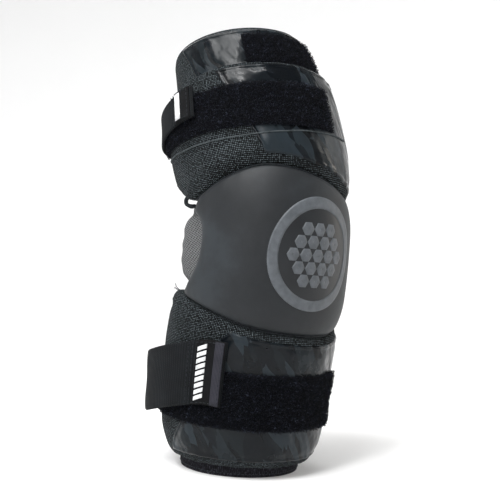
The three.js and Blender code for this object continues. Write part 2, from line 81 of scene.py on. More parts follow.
# bow is a share of ELBOW_BOW, lean is in degrees, wide is a share of ELBOW_HALF_WIDTH,
# and front and back are shares of ELBOW_HALF_DEPTH
ARM_SECTIONS = dict(
    at=[0.00, 0.05, 0.10, 0.20, 0.33, 0.42, 0.56, 0.65, 0.75, 0.88, 1.00],
    bow=[-0.22, -0.22, -0.22, -0.32, -0.59, -0.82, -1.00, -0.82, -0.34, 0.42, 1.35],
    lean=[0, -2, -3, -4, -4, -3, 2, 7, 11, 14, 16],
    wide=[0.86, 0.89, 0.94, 0.98, 1.02, 1.01, 1.00, 1.02, 1.09, 1.04, 0.99],
    front=[0.79, 0.82, 0.85, 0.89, 0.95, 0.98, 1.00, 0.99, 0.97, 0.90, 0.86],
    back=[0.82, 0.86, 0.92, 0.95, 0.93, 0.91, 0.92, 0.93, 1.00, 0.94, 0.85],
)


def read_table(table, column, place):
    """One column of a table read between its stops, along a smooth curve."""
    at, value = np.array(table["at"], float), np.array(table[column], float)
    place = np.asarray(place, float)
    row = np.clip(np.searchsorted(at, place, side="right") - 1, 0, len(at) - 2)
    slope = np.gradient(value, at)
    slope[1:-1] = (value[2:] - value[:-2]) / (at[2:] - at[:-2])
    step = at[row + 1] - at[row]
    t = np.clip((place - at[row]) / step, 0, 1)
    blend = t * t * (3 - 2 * t)
    bend = t * (1 - t) ** 2 * step * slope[row] + t * t * (t - 1) * step * slope[row + 1]
    return value[row] * (1 - blend) + value[row + 1] * blend + bend


def form_point(share, angle, offset):
    """A place on the arm form, in metres, before the pad is set over its origin."""
    bow, lean, wide, front, back = (
        read_table(ARM_SECTIONS, column, share) for column in ("bow", "lean", "wide", "front", "back"))
    lean, turn = np.radians(lean), np.radians(angle)
    ahead = np.cos(turn)
    depth = np.where(ahead > 0, front, back) * ELBOW_HALF_DEPTH + offset
    x = (wide * ELBOW_HALF_WIDTH + offset) * np.sin(turn)
    y = bow * ELBOW_BOW - depth * ahead * np.cos(lean)
    z = share * ARM_LENGTH + depth * ahead * np.sin(lean)
    return np.stack(np.broadcast_arrays(x, y, z), -1) * MM


binding_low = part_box("wrist_binding")[0]
binding_top_share = BINDING_HEIGHT / ARM_LENGTH
own_rim = np.concatenate([
    form_point(np.full(36, share), np.arange(36) * 10.0, BINDING_OUT) for share in (0, binding_top_share)
])
ORIGIN = np.array(binding_low) - own_rim.min(0)
print("pad set over its origin by", np.round(ORIGIN / MM, 2), "mm")


def arm_point(share, angle, offset):
    return form_point(share, angle, offset) + ORIGIN


# %% [markdown]
# Each layer is a slab: an outer and an inner face over one outline, joined round the edge.
# Arrays build it in one step, and its UV map is measured in metres along the cloth, so a
# weave drawn from it keeps its real size wherever the piece bends.

# %% Slabs and meshes
WEAVE_RADIUS = 60
EDGE_RADIUS = 64


def grid_quads(columns, rows, start=0, closed=False, flip=False):
    """The quads of a grid of vertices stored row by row, and each corner's grid place."""
    across, up = np.meshgrid(np.arange(columns if closed else columns - 1), np.arange(rows - 1))
    corners = [(across, up), (across + 1, up), (across + 1, up + 1), (across, up + 1)]
    if flip:
        corners.reverse()
    quads = np.stack([r * columns + c % columns for c, r in corners], -1).reshape(-1, 4) + start
    places = np.stack([np.stack([c, r], -1) for c, r in corners], -2).reshape(-1, 4, 2)
    return quads, places


def new_object(name, data):
    obj = bpy.data.objects.new(name, data)
    bpy.context.collection.objects.link(obj)
    return obj


def make_mesh(name, points, quads, uv=None, material=None):
    mesh = bpy.data.meshes.new(name)
    mesh.from_pydata(points.tolist(), [], quads.tolist())
    if uv is not None:
        layer = mesh.uv_layers.new(name="Cloth")
        layer.data.foreach_set("uv", uv.astype(np.float32).ravel())
    mesh.polygons.foreach_set("use_smooth", np.ones(len(mesh.polygons), bool))
    mesh.update()
    if material:
        mesh.materials.append(material)
    return new_object(name, mesh)


def slab_parts(share, angle, outer, inner, closed=False):
    """Points, quads and UVs of a slab over a grid of shares and angles, between two
    grids of offsets in mm."""
    share, angle, outer, inner = np.broadcast_arrays(share, angle, outer, inner)
    rows, columns = share.shape
    count = rows * columns
    points = np.concatenate([
        arm_point(share, angle, outer).reshape(-1, 3),
        arm_point(share, angle, inner).reshape(-1, 3),
    ])
    outside, places = grid_quads(columns, rows, closed=closed)
    inside, inner_places = grid_quads(columns, rows, start=count, closed=closed, flip=True)
    if closed:
        loops = [[(c, 0) for c in range(columns + 1)], [(c, rows - 1) for c in range(columns, -1, -1)]]
    else:
        loops = [
            [(c, 0) for c in range(columns)] + [(columns - 1, r) for r in range(1, rows)]
            + [(c, rows - 1) for c in range(columns - 2, -1, -1)] + [(0, r) for r in range(rows - 2, -1, -1)]
        ]
    rim = []
    rim_places = []
    for loop in loops:
        for start, end in zip(loop, loop[1:]):
            a = start[1] * columns + start[0] % columns
            b = end[1] * columns + end[0] % columns
            rim.append((b, a, a + count, b + count))
            rim_places.append((end, start, start, end))
    quads = np.concatenate([outside, inside, np.array(rim)])
    places = np.concatenate([places, inner_places, np.array(rim_places)])
    if closed:
        step = 360 / columns
        first = angle[:, :1]
        flat_angle = first[np.clip(places[..., 1], 0, rows - 1), 0] + places[..., 0] * step
    else:
        flat_angle = angle[places[..., 1], places[..., 0]]
    flat_share = share[places[..., 1], places[..., 0] % columns]
    uv = np.stack([np.radians(flat_angle) * WEAVE_RADIUS, flat_share * ARM_LENGTH], -1)
    # round the rim, the cloth runs on across the slab's thickness
    rim_rows, rim_columns = places[-len(rim):, 2:, 1], places[-len(rim):, 2:, 0] % columns
    uv[-len(rim):, 2:] += (0.75 * (outer - inner)[rim_rows, rim_columns])[..., None]
    return points, quads, uv * MM


def make_slab(name, share, angle, outer, inner, material, closed=False):
    return make_mesh(name, *slab_parts(share, angle, outer, inner, closed), material)


def join_slabs(name, parts, material):
    points = np.concatenate([part[0] for part in parts])
    starts = np.cumsum([0] + [len(part[0]) for part in parts[:-1]])
    quads = np.concatenate([part[1] + start for part, start in zip(parts, starts)])
    uv = np.concatenate([part[2] for part in parts]) if len(parts[0]) > 2 else None
    return make_mesh(name, points, quads, uv, material)


def even(count):
    return np.linspace(0, 1, count)


def crowded(count, pull=0.6):
    """Stops from 0 to 1 that crowd towards both ends, where a pad rounds over."""
    stops = even(count)
    return (1 - pull) * stops + pull * (0.5 - 0.5 * np.cos(stops * math.pi))


class Outline:
    """A patch on the arm form: lower and upper edges by angle, side edges by height."""

    def __init__(self, low, high, left, right):
        self.low, self.high, self.left, self.right = low, high, left, right

    def place(self, across, up):
        across, up = np.meshgrid(across, up)
        angle = self.left(up) + (self.right(up) - self.left(up)) * across
        share = self.low(angle) + (self.high(angle) - self.low(angle)) * up
        return share, angle

    def margins(self, share, angle):
        """Distances in mm in from the lower, upper, left and right edges."""
        low, high = self.low(angle), self.high(angle)
        up = np.clip((share - low) / (high - low), 0, 1)
        arc = math.radians(1) * EDGE_RADIUS
        return [
            (share - low) * ARM_LENGTH, (high - share) * ARM_LENGTH,
            (angle - self.left(up)) * arc, (self.right(up) - angle) * arc,
        ]


def rise(distance, edge_share, round_over):
    """The height of a rounded edge, from its share at the edge to 1 inside."""
    inside = np.clip(distance / round_over, 0, 1)
    return edge_share + (1 - edge_share) * np.sqrt(1 - (1 - inside) ** 2)


# %% [markdown]
# Materials are built from nodes. One helper adds a node with its settings and links, and
# another turns a hex colour, as seen on screen, into the linear numbers that light uses.
# Each material works with the first one bound to its own node tree, under the name put.

# %% Node helpers
RAMP = "ShaderNodeValToRGB"
NOISE = "ShaderNodeTexNoise"
COMBINE = "ShaderNodeCombineXYZ"
CLOTH_SPECULAR = 0.12


def linear(hex_colour):
    channels = [int(hex_colour[i:i + 2], 16) / 255 for i in (1, 3, 5)]
    return (*[c / 12.92 if c <= 0.04045 else ((c + 0.055) / 1.055) ** 2.4 for c in channels], 1)


def socket_of(value):
    """A node stands for its first output."""
    return value.outputs[0] if isinstance(value, bpy.types.Node) else value


def add(tree, kind, *values, stops=(), **named):
    """Adds a node. A kind in capitals is a maths operation. Values fill the inputs in their
    order, and None leaves one alone. Names in small letters are settings, and others are
    inputs. size_mm is the size of a texture's features, and stops make a colour ramp."""
    node = tree.nodes.new("ShaderNodeMath" if kind.isupper() else kind)
    if kind.isupper():
        node.operation = kind
    if "size_mm" in named:
        named["Scale"] = 1 / (named.pop("size_mm") * MM)
    for key, value in [*named.items(), *enumerate(values)]:
        value = socket_of(value)
        if str(key).islower():
            setattr(node, key, value)
        elif value is not None:
            socket = node.inputs[key if isinstance(key, int) else key.replace("_", " ")]
            if isinstance(value, bpy.types.NodeSocket):
                tree.links.new(value, socket)
            else:
                socket.default_value = value
    if stops:
        elements = node.color_ramp.elements
        while len(elements) < len(stops):
            elements.new(0.5)
        for element, (place, colour) in zip(elements, stops):
            element.position, element.color = place, linear(colour)
    return node


def new_material(name, roughness, specular=CLOTH_SPECULAR):
    """A material with its uniform values on the shader, and add() bound to its tree."""
    material = bpy.data.materials.new(name)
    material.use_nodes = True
    shader = material.node_tree.nodes["Principled BSDF"]
    shader.inputs["Roughness"].default_value = roughness
    shader.inputs["Specular IOR Level"].default_value = specular
    return material, partial(add, material.node_tree)


def dress(material, put, colour, rough=None, height=None, depth=1.0, strength=0.8):
    """Links the shader's colour, its roughness, and a bump whose depth is in mm."""
    tree = material.node_tree
    if height is not None:
        height = put("ShaderNodeBump", Strength=strength, Distance=depth * MM, Height=height)
    for key, value in {"Base Color": colour, "Roughness": rough, "Normal": height}.items():
        if value is not None:
            tree.links.new(socket_of(value), tree.nodes["Principled BSDF"].inputs[key])
    return material


def cloth_axes(put):
    """The two distances along the cloth, in metres, from the piece's own UV map."""
    uv = put("ShaderNodeUVMap", uv_map="Cloth")
    return uv, *put("ShaderNodeSeparateXYZ", uv).outputs[:2]


def object_place(put):
    return put("ShaderNodeTexCoord").outputs["Object"]


def wave(put, distance, pitch_mm):
    """A sine over a distance along the cloth."""
    return put("SINE", put("MULTIPLY", distance, math.tau / (pitch_mm * MM)))


# %% [markdown]
# Spacer mesh is two knit faces held apart by pile, so it is matt and dark with open cells.
# Here the knit is a diamond lattice: two waves crossed on the cloth's own distances. The
# real cells are about 1.5 mm across, and they are drawn a little coarser so that they show.
# Cloth fibres scatter light, so the plain mirror part of the shader is kept low.

# %% Mesh cloth
MESH_CELL = 2.3


def mesh_cloth():
    material, put = new_material("black polyester spacer mesh", 0.85)
    uv, u, v = cloth_axes(put)
    wobble = put("MULTIPLY", put(NOISE, uv, size_mm=9), 0.7 * MM)
    one_way = wave(put, put("ADD", put("ADD", u, v), wobble), MESH_CELL)
    other_way = wave(put, put("SUBTRACT", put("SUBTRACT", u, v), wobble), MESH_CELL)
    knit = put("MULTIPLY_ADD", put("MULTIPLY", one_way, other_way), 0.5, 0.5)
    fleck = put(NOISE, uv, size_mm=1.3, Detail=1.0)
    mixed = put("MULTIPLY_ADD", fleck, 0.66, put("MULTIPLY", knit, 0.6))
    mixed = put("MULTIPLY_ADD", put(NOISE, uv, size_mm=26), 0.2, mixed)
    # the lightest flecks, at the top of the ramp, are painted sheen: glints off the fibres
    colour = put(RAMP, mixed, stops=[(0.5, "#020303"), (0.74, "#07090a"), (0.88, "#1c2023"), (1.0, "#626b6f")])
    return dress(material, put, colour, height=mixed, depth=0.9, strength=0.9)


MESH_CLOTH = mesh_cloth()

# %% [markdown]
# The elbow cap's cover is a thin polyurethane skin on stretch cloth, moulded over foam. It
# is smooth and matt with a very fine grain, and the light falls off slowly across it.

# %% Elbow skin
def elbow_skin():
    material, put = new_material("matte polyurethane skin", 0.55, 0.3)
    place = object_place(put)
    broad = put(NOISE, place, size_mm=42)
    scuff = put(NOISE, place, size_mm=7, Detail=3.0, Roughness=0.65)
    tone = put("MULTIPLY_ADD", scuff, 0.25, put("MULTIPLY", broad, 0.8))
    colour = put(RAMP, tone, stops=[(0.35, "#14171a"), (0.52, "#1a1d20"), (0.68, "#24292d")])
    rough = put("MULTIPLY_ADD", broad, 0.14, 0.5)
    grain = put(NOISE, place, size_mm=0.7, Roughness=0.6)
    return dress(material, put, colour, rough, grain, 0.12, 0.55)


ELBOW_SKIN = elbow_skin()

# %% [markdown]
# The films are glossy polyurethane panels pressed on with heat, printed with tonal shards
# in several blacks. Stretched cells give the shards: each has one tone and one gloss, so
# some catch the light and others stay dull.

# %% Gloss film
SHARD_WIDTH = 13 * MM
SHARD_LENGTH = 46 * MM


def gloss_film():
    material, put = new_material("gloss polyurethane film", 0.25, 0.15)
    uv, u, v = cloth_axes(put)
    bend = put("MULTIPLY", put(NOISE, uv, size_mm=34, Detail=1.0), 16 * MM)
    lean_u = put("ADD", put("MULTIPLY_ADD", v, 0.5, u), bend)
    lean_v = put("MULTIPLY_ADD", u, -0.3, v)
    shard_place = put(COMBINE, put("DIVIDE", lean_u, SHARD_WIDTH), put("DIVIDE", lean_v, SHARD_LENGTH))
    cells = put("ShaderNodeTexVoronoi", shard_place, distance="MINKOWSKI", Scale=1.0, Exponent=0.7)
    tone = put("MULTIPLY", put("ShaderNodeSeparateColor", cells.outputs["Color"]), 0.7)
    mixed = put("MULTIPLY_ADD", put(NOISE, uv, size_mm=12, Detail=3.0, Roughness=0.6), 0.3, tone)
    colour = put(RAMP, mixed, stops=[(0.2, "#06090c"), (0.42, "#0e1216"), (0.6, "#14191c"), (0.8, "#1f262b")])
    rough = put("MULTIPLY_ADD", mixed, 0.3, 0.08)
    creases = put(NOISE, put(COMBINE, lean_u, put("MULTIPLY", v, 0.35)), size_mm=9, Detail=1.5)
    ripple = put("MULTIPLY_ADD", creases, 0.7, put(NOISE, uv, size_mm=18))
    return dress(material, put, colour, rough, ripple, 2.2)


GLOSS_FILM = gloss_film()

# %% [markdown]
# Loop pile is a brushed nylon face whose tiny loops hold the strap's hooks. The backing is
# nearly black with a blue cast, and the loops themselves are made as geometry further on.
# Webbing and tape are woven: ribs run along them, crossed by the picks of the weft.

# %% Loop pile, webbing and strips
def loop_pile():
    material, put = new_material("brushed nylon loop pile", 0.9)
    uv = cloth_axes(put)[0]
    clump = put("MULTIPLY", put(NOISE, uv, size_mm=3.2, Detail=3.0, Roughness=0.7), 0.6)
    mixed = put("MULTIPLY_ADD", put(NOISE, uv, size_mm=0.9, Detail=1.0), 0.5, clump)
    colour = put(RAMP, mixed, stops=[(0.4, "#030407"), (0.62, "#080a10"), (0.78, "#161925")])
    return dress(material, put, colour, height=mixed, depth=1.2, strength=0.9)


def fibre():
    material, put = new_material("nylon loop fibre", 0.75)
    place = object_place(put)
    broad = put("MULTIPLY", put(NOISE, place, size_mm=5, Detail=1.0), 0.28)
    mixed = put("MULTIPLY_ADD", put(NOISE, place, size_mm=1.5), 0.8, broad)
    # the lightest stop paints highlights on some of the loops
    stops = [(0.42, "#030408"), (0.56, "#0a0c12"), (0.66, "#1e222c"), (0.77, "#4b515f")]
    return dress(material, put, put(RAMP, mixed, stops=stops))


def webbing(name, dark, light, rib_mm, pick_mm):
    material, put = new_material(name, 0.82)
    uv, u, v = cloth_axes(put)
    ribs, picks = wave(put, u, rib_mm), wave(put, v, pick_mm)
    ground = put("MULTIPLY_ADD", ribs, 0.25, 0.5)
    weave = put("MULTIPLY_ADD", put("MULTIPLY", ribs, picks), 0.25, ground)
    worn = put(NOISE, uv, size_mm=12, Detail=3.0)
    mixed = put("MULTIPLY_ADD", worn, 0.45, put("MULTIPLY", weave, 0.6))
    colour = put(RAMP, mixed, stops=[(0.25, dark), (0.75, light)])
    return dress(material, put, colour, height=weave, depth=0.5)


LOOP_PILE = loop_pile()
FIBRE = fibre()
WEBBING = webbing("woven elastic webbing", "#040506", "#171a1d", 1.9, 1.3)
STRIP = webbing("black satin woven tape", "#050506", "#141517", 0.9, 0.6)
BORDER_TAPE = webbing("grey woven border tape", "#1f1f24", "#3a3a42", 0.9, 0.6)

# %% [markdown]
# The sleeve is a grey knit with rows of small eyelets for air. The eyelets are a staggered grid of dots on the cloth's
# distances: in each cell, the distance to the middle is small. Each eyelet is painted dark grey, as painted shade seen
# through the hole, and is also dented in the bump.
# The binding is a rib knit of mixed dark and grey yarns. Inks, threads and yarns need no
# more than two close tones.

# %% Sleeve knit, binding and plain materials
EYELET_PITCH, EYELET_ROW, EYELET_RADIUS = 2.3 * MM, 1.7 * MM, 0.55 * MM


def eyelets(put, u, v):
    """1 inside the dots of a staggered grid, 0 outside."""
    row = put("DIVIDE", v, EYELET_ROW)
    shift = put("MULTIPLY", put("MODULO", put("FLOOR", row), 2.0), 0.5)
    across = put("FRACT", put("ADD", put("DIVIDE", u, EYELET_PITCH), shift))
    dx = put("MULTIPLY", put("SUBTRACT", across, 0.5), EYELET_PITCH * 0.6)
    dy = put("MULTIPLY", put("SUBTRACT", put("FRACT", row), 0.5), EYELET_ROW)
    distance = put("SQRT", put("ADD", put("MULTIPLY", dx, dx), put("MULTIPLY", dy, dy)))
    return put("ShaderNodeMapRange", distance, interpolation_type="SMOOTHSTEP",
               From_Min=EYELET_RADIUS * 1.25, From_Max=EYELET_RADIUS * 0.55)


def sleeve_knit():
    material, put = new_material("grey polyester eyelet knit", 0.9)
    uv, u, v = cloth_axes(put)
    eyelet_shade_and_dent = eyelets(put, u, put("MULTIPLY_ADD", u, 0.45, v))
    yarn = put("MULTIPLY_ADD", wave(put, u, 0.9), 0.12, put(NOISE, uv, size_mm=1.4, Detail=3.0))
    shade = put(RAMP, yarn, stops=[(0.3, "#595a5b"), (0.7, "#7b7c7d")])
    # a mix node takes its two colours as the seventh and eighth inputs
    # the eyelets are painted dark grey: painted shade seen through each hole
    blend = put("ShaderNodeMix", eyelet_shade_and_dent, *[None] * 5, shade, linear("#232425"), data_type="RGBA")
    relief = put("SUBTRACT", put("MULTIPLY", yarn, 0.4), eyelet_shade_and_dent)
    return dress(material, put, blend.outputs[2], height=relief, depth=0.5)


def heather():
    material, put = new_material("heathered rib knit", 0.92)
    uv, u, v = cloth_axes(put)
    stretched = put(COMBINE, put("MULTIPLY", u, 2.6), v)
    fleck = put(NOISE, stretched, size_mm=2.6, Detail=3.0, Roughness=0.75)
    rib = wave(put, u, 1.9)
    mixed = put("MULTIPLY_ADD", rib, 0.06, fleck)
    colour = put(RAMP, mixed, stops=[(0.36, "#09090c"), (0.55, "#1b1b20"), (0.72, "#585862")])
    return dress(material, put, colour, height=put("MULTIPLY_ADD", rib, 0.3, fleck), depth=0.6)


def plain_material(name, roughness, specular, grain_mm, low, high):
    material, put = new_material(name, roughness, specular)
    place = object_place(put)
    tone = put(NOISE, place, size_mm=grain_mm, Detail=3.0)
    colour = put(RAMP, tone, stops=[(0.3, low), (0.7, high)])
    return dress(material, put, colour, height=put(NOISE, place, size_mm=0.8), depth=0.1, strength=0.5)


SLEEVE_KNIT = sleeve_knit()
HEATHER = heather()
PRINT_GREY = plain_material("grey screen print ink", 0.5, 0.35, 5, "#43474b", "#53575c")
PRINT_DARK = plain_material("dark screen print ink", 0.42, 0.35, 20, "#121417", "#181b1e")
THREAD = plain_material("black polyester sewing thread", 0.7, CLOTH_SPECULAR, 2, "#15171a", "#2b2f32")
PIPING = plain_material("grey piping cord", 0.7, CLOTH_SPECULAR, 2.5, "#2a2f31", "#4a5053")
LABEL_YARN = plain_material("white woven label yarn", 0.75, CLOTH_SPECULAR, 1.5, "#b9babc", "#e2e3e4")
print("materials", [material.name for material in bpy.data.materials])

# %% [markdown]
# The two guards, the elbow cap and the bicep flap are foam under cloth. Each starts as a
# slab with rounded edges, and then pressure in a cloth simulation fills the cover out, so
# it crowns between its held edges as a stuffed piece does. The inner face and the rim are
# pinned, because on the real pad they are sewn to the sleeve.

# %% Outlines of the pads
PAD_GAP = 0.65
LAYER_GAP = 0.45
GUARD_THICKNESS = 13
ELBOW_THICKNESS = 15
BICEP_THICKNESS = 6
GUARD_REACH, ELBOW_REACH, BICEP_REACH, BICEP_MIDDLE = 142, 89, 99, -51
TUCK_DEPTH = 9
BICEP_HIGH = 0.995
LIP_START, LIP_FULL = 0.76, 0.83
UPPER_SEAM = dict(
    at=[-142, -118, -100, -85, -65, -37, 0, 35, 90, 118, 142],
    share=[0.665, 0.640, 0.617, 0.630, 0.655, 0.674, 0.656, 0.630, 0.612, 0.640, 0.665])
UPPER_RIM = dict(
    at=[-142, -118, -95, -80, -40, 45, 95, 142],
    share=[0.850, 0.865, 0.873, 0.888, 0.895, 0.895, 0.885, 0.850])
LOWER_SEAM = dict(
    at=[-142, -118, -90, -65, -45, -20, 15, 45, 90, 118, 142],
    share=[0.400, 0.408, 0.390, 0.368, 0.349, 0.339, 0.335, 0.346, 0.390, 0.412, 0.405])
GUARD_SIDES = dict(at=[0, 0.12, 0.35, 0.65, 0.88, 1], reach=[0.90, 0.97, 1.0, 1.0, 0.97, 0.90])
ELBOW_SIDES = dict(at=[0, 0.10, 0.35, 0.70, 0.90, 1], reach=[1.20, 1.13, 1.0, 0.98, 1.08, 1.06])
BICEP_SIDES = dict(
    at=[0, 0.30, 0.60, 0.85, 1], left=[0.98, 1.0, 0.99, 0.96, 0.90], right=[0.98, 1.0, 0.95, 0.80, 0.60])


def upper_seam(angle):
    return read_table(UPPER_SEAM, "share", angle)


def lower_seam(angle):
    return read_table(LOWER_SEAM, "share", angle)


def upper_rim(angle):
    return read_table(UPPER_RIM, "share", angle)


def same(value):
    return lambda place: np.full_like(np.asarray(place, float), value)


def pad_outline(low, high, sides, reach):
    return Outline(low, high, lambda up: -reach * read_table(sides, "reach", up),
                   lambda up: reach * read_table(sides, "reach", up))


SEAM_HALF = 0.6 / ARM_LENGTH
FOREARM_GUARD_LOW = 0.043
ROLLED_EDGE = 0.016
forearm_outline = pad_outline(same(FOREARM_GUARD_LOW - ROLLED_EDGE), lambda a: lower_seam(a) - SEAM_HALF,
                              GUARD_SIDES, GUARD_REACH)
upper_outline = pad_outline(lambda a: upper_seam(a) + SEAM_HALF, upper_rim, GUARD_SIDES, GUARD_REACH)
elbow_outline = pad_outline(lambda a: lower_seam(a) + SEAM_HALF, lambda a: upper_seam(a) - SEAM_HALF,
                            ELBOW_SIDES, ELBOW_REACH)
bicep_outline = Outline(
    lambda a: upper_rim(a) - TUCK_DEPTH / ARM_LENGTH, same(BICEP_HIGH),
    lambda up: BICEP_MIDDLE - BICEP_REACH * read_table(BICEP_SIDES, "left", up),
    lambda up: BICEP_MIDDLE + BICEP_REACH * read_table(BICEP_SIDES, "right", up))


def tucked_seat(share, angle):
    """The upper guard's inner face, which steps out over the tucked edge of the flap."""
    low, high = upper_outline.low(angle), upper_outline.high(angle)
    up = np.clip(((share - low) / (high - low) - LIP_START) / (LIP_FULL - LIP_START), 0, 1)
    cap_end = BICEP_MIDDLE + BICEP_REACH
    beside = 1 - np.clip((angle - cap_end - 6) / 14, 0, 1)
    return PAD_GAP + (BICEP_THICKNESS + PAD_GAP) * beside * up * up * (3 - 2 * up)


def rolled_seat(share, angle):
    """The forearm guard's inner face, which clears the binding where its edge rolls under."""
    below = np.clip((FOREARM_GUARD_LOW + 0.004 - share) / 0.008, 0, 1)
    return PAD_GAP + (LAYER_GAP + 1.6) * below


# edges are (share of the thickness at the edge, round-over in mm) for low, high and sides
PADS = {
    "forearm_guard": dict(outline=forearm_outline, thick=GUARD_THICKNESS, low=(0.34, 22), high=(0.62, 11),
                          side=(0.35, 16), seat=rolled_seat, grid=(132, 48), soft=1.0, material=MESH_CLOTH),
    "upper_guard": dict(outline=upper_outline, thick=GUARD_THICKNESS, low=(0.62, 11), high=(0.86, 5),
                        side=(0.62, 16), seat=tucked_seat, grid=(132, 40), soft=1.0, material=MESH_CLOTH),
    "elbow_cap": dict(outline=elbow_outline, thick=ELBOW_THICKNESS, low=(0.60, 24), high=(0.60, 24),
                      side=(0.40, 16), seat=lambda s, a: PAD_GAP, grid=(72, 48), soft=0.5, material=ELBOW_SKIN),
    "bicep_cap": dict(outline=bicep_outline, thick=BICEP_THICKNESS, low=(0.80, 4), high=(0.70, 6),
                      side=(0.60, 9), seat=lambda s, a: PAD_GAP, grid=(80, 24), soft=0.5, material=MESH_CLOTH),
}

# %% [markdown]
# Real filling is never quite even, and a cover puckers where it is gathered into a seam. So
# each slab gets soft dents, and fine ripples near its seams, before it is filled out.

# %% Pad slabs
PUFF_ALLOWANCE = 0.8


def softness(share, angle, from_seam):
    """Uneven filling in mm, with small puckers where the cover is gathered into a seam."""
    along = np.radians(angle) * WEAVE_RADIUS
    up = share * ARM_LENGTH
    dents = np.sin(along / 17 + 1.3) * np.sin(up / 13 + 0.4) + 0.6 * np.sin(along / 9 - up / 15)
    puckers = np.sin(along / 1.6 + 1.5 * np.sin(along / 7)) * np.exp(-((from_seam - 5) / 3.5) ** 2)
    inside = np.clip(from_seam / 6, 0, 1)
    return 0.45 * dents * inside + 0.35 * puckers


def make_pad(name, pad):
    columns, rows = pad["grid"]
    share, angle = pad["outline"].place(crowded(columns), crowded(rows))
    low, high, left, right = pad["outline"].margins(share, angle)
    height = (pad["thick"] - PUFF_ALLOWANCE) * rise(low, *pad["low"]) * rise(high, *pad["high"])
    height = height * rise(left, *pad["side"]) * rise(right, *pad["side"])
    height = height + pad["soft"] * softness(share, angle, np.minimum(low, high))
    seat = np.broadcast_to(pad["seat"](share, angle), share.shape)
    obj = make_slab(name, share, angle, PAD_GAP + height, seat, pad["material"])
    held = np.zeros(share.shape, bool)
    held[[0, -1], :] = True
    held[:, [0, -1]] = True
    group = obj.vertex_groups.new(name="held")
    inner = np.arange(share.size, 2 * share.size)
    group.add(np.concatenate([np.flatnonzero(held), inner]).tolist(), 1.0, "REPLACE")
    return obj


pads = {name: make_pad(name + "_cover", pad) for name, pad in PADS.items()}
print("pads", {name: len(obj.data.polygons) for name, obj in pads.items()})

# %% [markdown]
# A cloth run with pressure inside fills the covers out. How far each point moves is capped,
# so that a cover stays near its solid, and the result is kept as a plain mesh.

# %% Fill the pads out
PUFF_FRAMES = 20
PUFF_CAP_MM = 2.2


def add_cloth(obj, pressure=4.0, growth=0.0):
    cloth = obj.modifiers.new("fill", "CLOTH")
    settings = cloth.settings
    settings.quality = 6
    settings.mass = 0.25
    settings.tension_stiffness = settings.compression_stiffness = 12
    settings.bending_stiffness = 0.4
    settings.use_pressure = True
    settings.uniform_pressure_force = pressure
    settings.vertex_group_mass = "held"
    settings.shrink_min = -growth
    settings.effector_weights.gravity = 0
    cloth.collision_settings.use_collision = False
    cloth.point_cache.frame_end = PUFF_FRAMES


def world_points(obj, evaluated=False):
    source = obj.evaluated_get(bpy.context.evaluated_depsgraph_get()) if evaluated else obj
    points = np.empty(len(source.data.vertices) * 3)
    source.data.vertices.foreach_get("co", points)
    return points.reshape(-1, 3)


def set_points(obj, points):
    obj.data.vertices.foreach_set("co", points.ravel())
    obj.data.update()


def puff(objects):
    starts = {obj.name: world_points(obj) for obj in objects}
    for frame_number in range(1, PUFF_FRAMES + 1):
        bpy.context.scene.frame_set(frame_number)
    ends = {obj.name: world_points(obj, evaluated=True) for obj in objects}
    for obj in objects:
        obj.modifiers.clear()
        move = ends[obj.name] - starts[obj.name]
        length = np.linalg.norm(move, axis=1, keepdims=True)
        capped = move * np.minimum(1, PUFF_CAP_MM * MM / np.maximum(length, 1e-9))
        set_points(obj, starts[obj.name] + capped)
        print(obj.name, "filled out by up to", round(float(length.max()) / MM, 2), "mm before the cap")
    bpy.context.scene.frame_set(1)


for name, growth in (("forearm_guard", 0.015), ("upper_guard", 0.015), ("elbow_cap", 0.0), ("bicep_cap", 0.0)):
    add_cloth(pads[name], growth=growth)
puff(list(pads.values()))


def keep_result(obj):
    """Turns what the modifiers make of an object into its own plain mesh."""
    mesh = bpy.data.meshes.new_from_object(obj.evaluated_get(bpy.context.evaluated_depsgraph_get()))
    obj.modifiers.clear()
    old, obj.data = obj.data, mesh
    bpy.data.meshes.remove(old)
    mesh.name = obj.name
    mesh.polygons.foreach_set("use_smooth", np.ones(len(mesh.polygons), bool))


for obj in pads.values():
    # one level of subdivision, so that what lies on the piece can follow its final face
    obj.vertex_groups.clear()
    obj.modifiers.new("refine", "SUBSURF").levels = 1
    keep_result(obj)

# %% [markdown]
# The films, bands, badge and straps are then laid on what was made. A ray from outside, at
# each place of their grid, finds the outermost face below it, and the layer is built on
# that. So a film follows the same dents as the foam, and nothing sinks in or floats.

# %% Draping
FAR_OFF = 60.0


def tree_of(*objects):
    points = []
    faces = []
    start = 0
    for obj in objects:
        own = world_points(obj)
        points.extend(map(tuple, own))
        faces.extend([tuple(v + start for v in face.vertices) for face in obj.data.polygons])
        start += len(own)
    return BVHTree.FromPolygons(points, faces)


def drape(tree, share, angle, fallback=13.0, passes=2):
    """The offset in mm of the outermost face at each place, slightly evened out."""
    outside = arm_point(share, angle, FAR_OFF)
    inward = arm_point(share, angle, 0.0) - outside
    found = np.full(share.shape, np.nan)
    for place in np.ndindex(share.shape):
        direction = Vector(inward[place]).normalized()
        hit = tree.ray_cast(Vector(outside[place]), direction, FAR_OFF * MM)
        if hit[0] is not None:
            found[place] = FAR_OFF - hit[3] / MM
    places = np.arange(found.shape[1])
    for row in found:
        missed = np.isnan(row)
        if missed.all():
            row[:] = fallback
        elif missed.any():
            row[missed] = np.interp(places[missed], places[~missed], row[~missed])
    for _ in range(passes):
        padded = np.pad(found, 1, mode="edge")
        around = padded[:-2, 1:-1] + padded[2:, 1:-1] + padded[1:-1, :-2] + padded[1:-1, 2:]
        found = found * 0.5 + around * 0.125
    return found


def nearest_edge(outline, share, angle):
    return np.minimum.reduce(outline.margins(share, angle))


def side_outline(low, high, sides):
    return Outline(low, high, lambda up: read_table(sides, "left", up), lambda up: read_table(sides, "right", up))


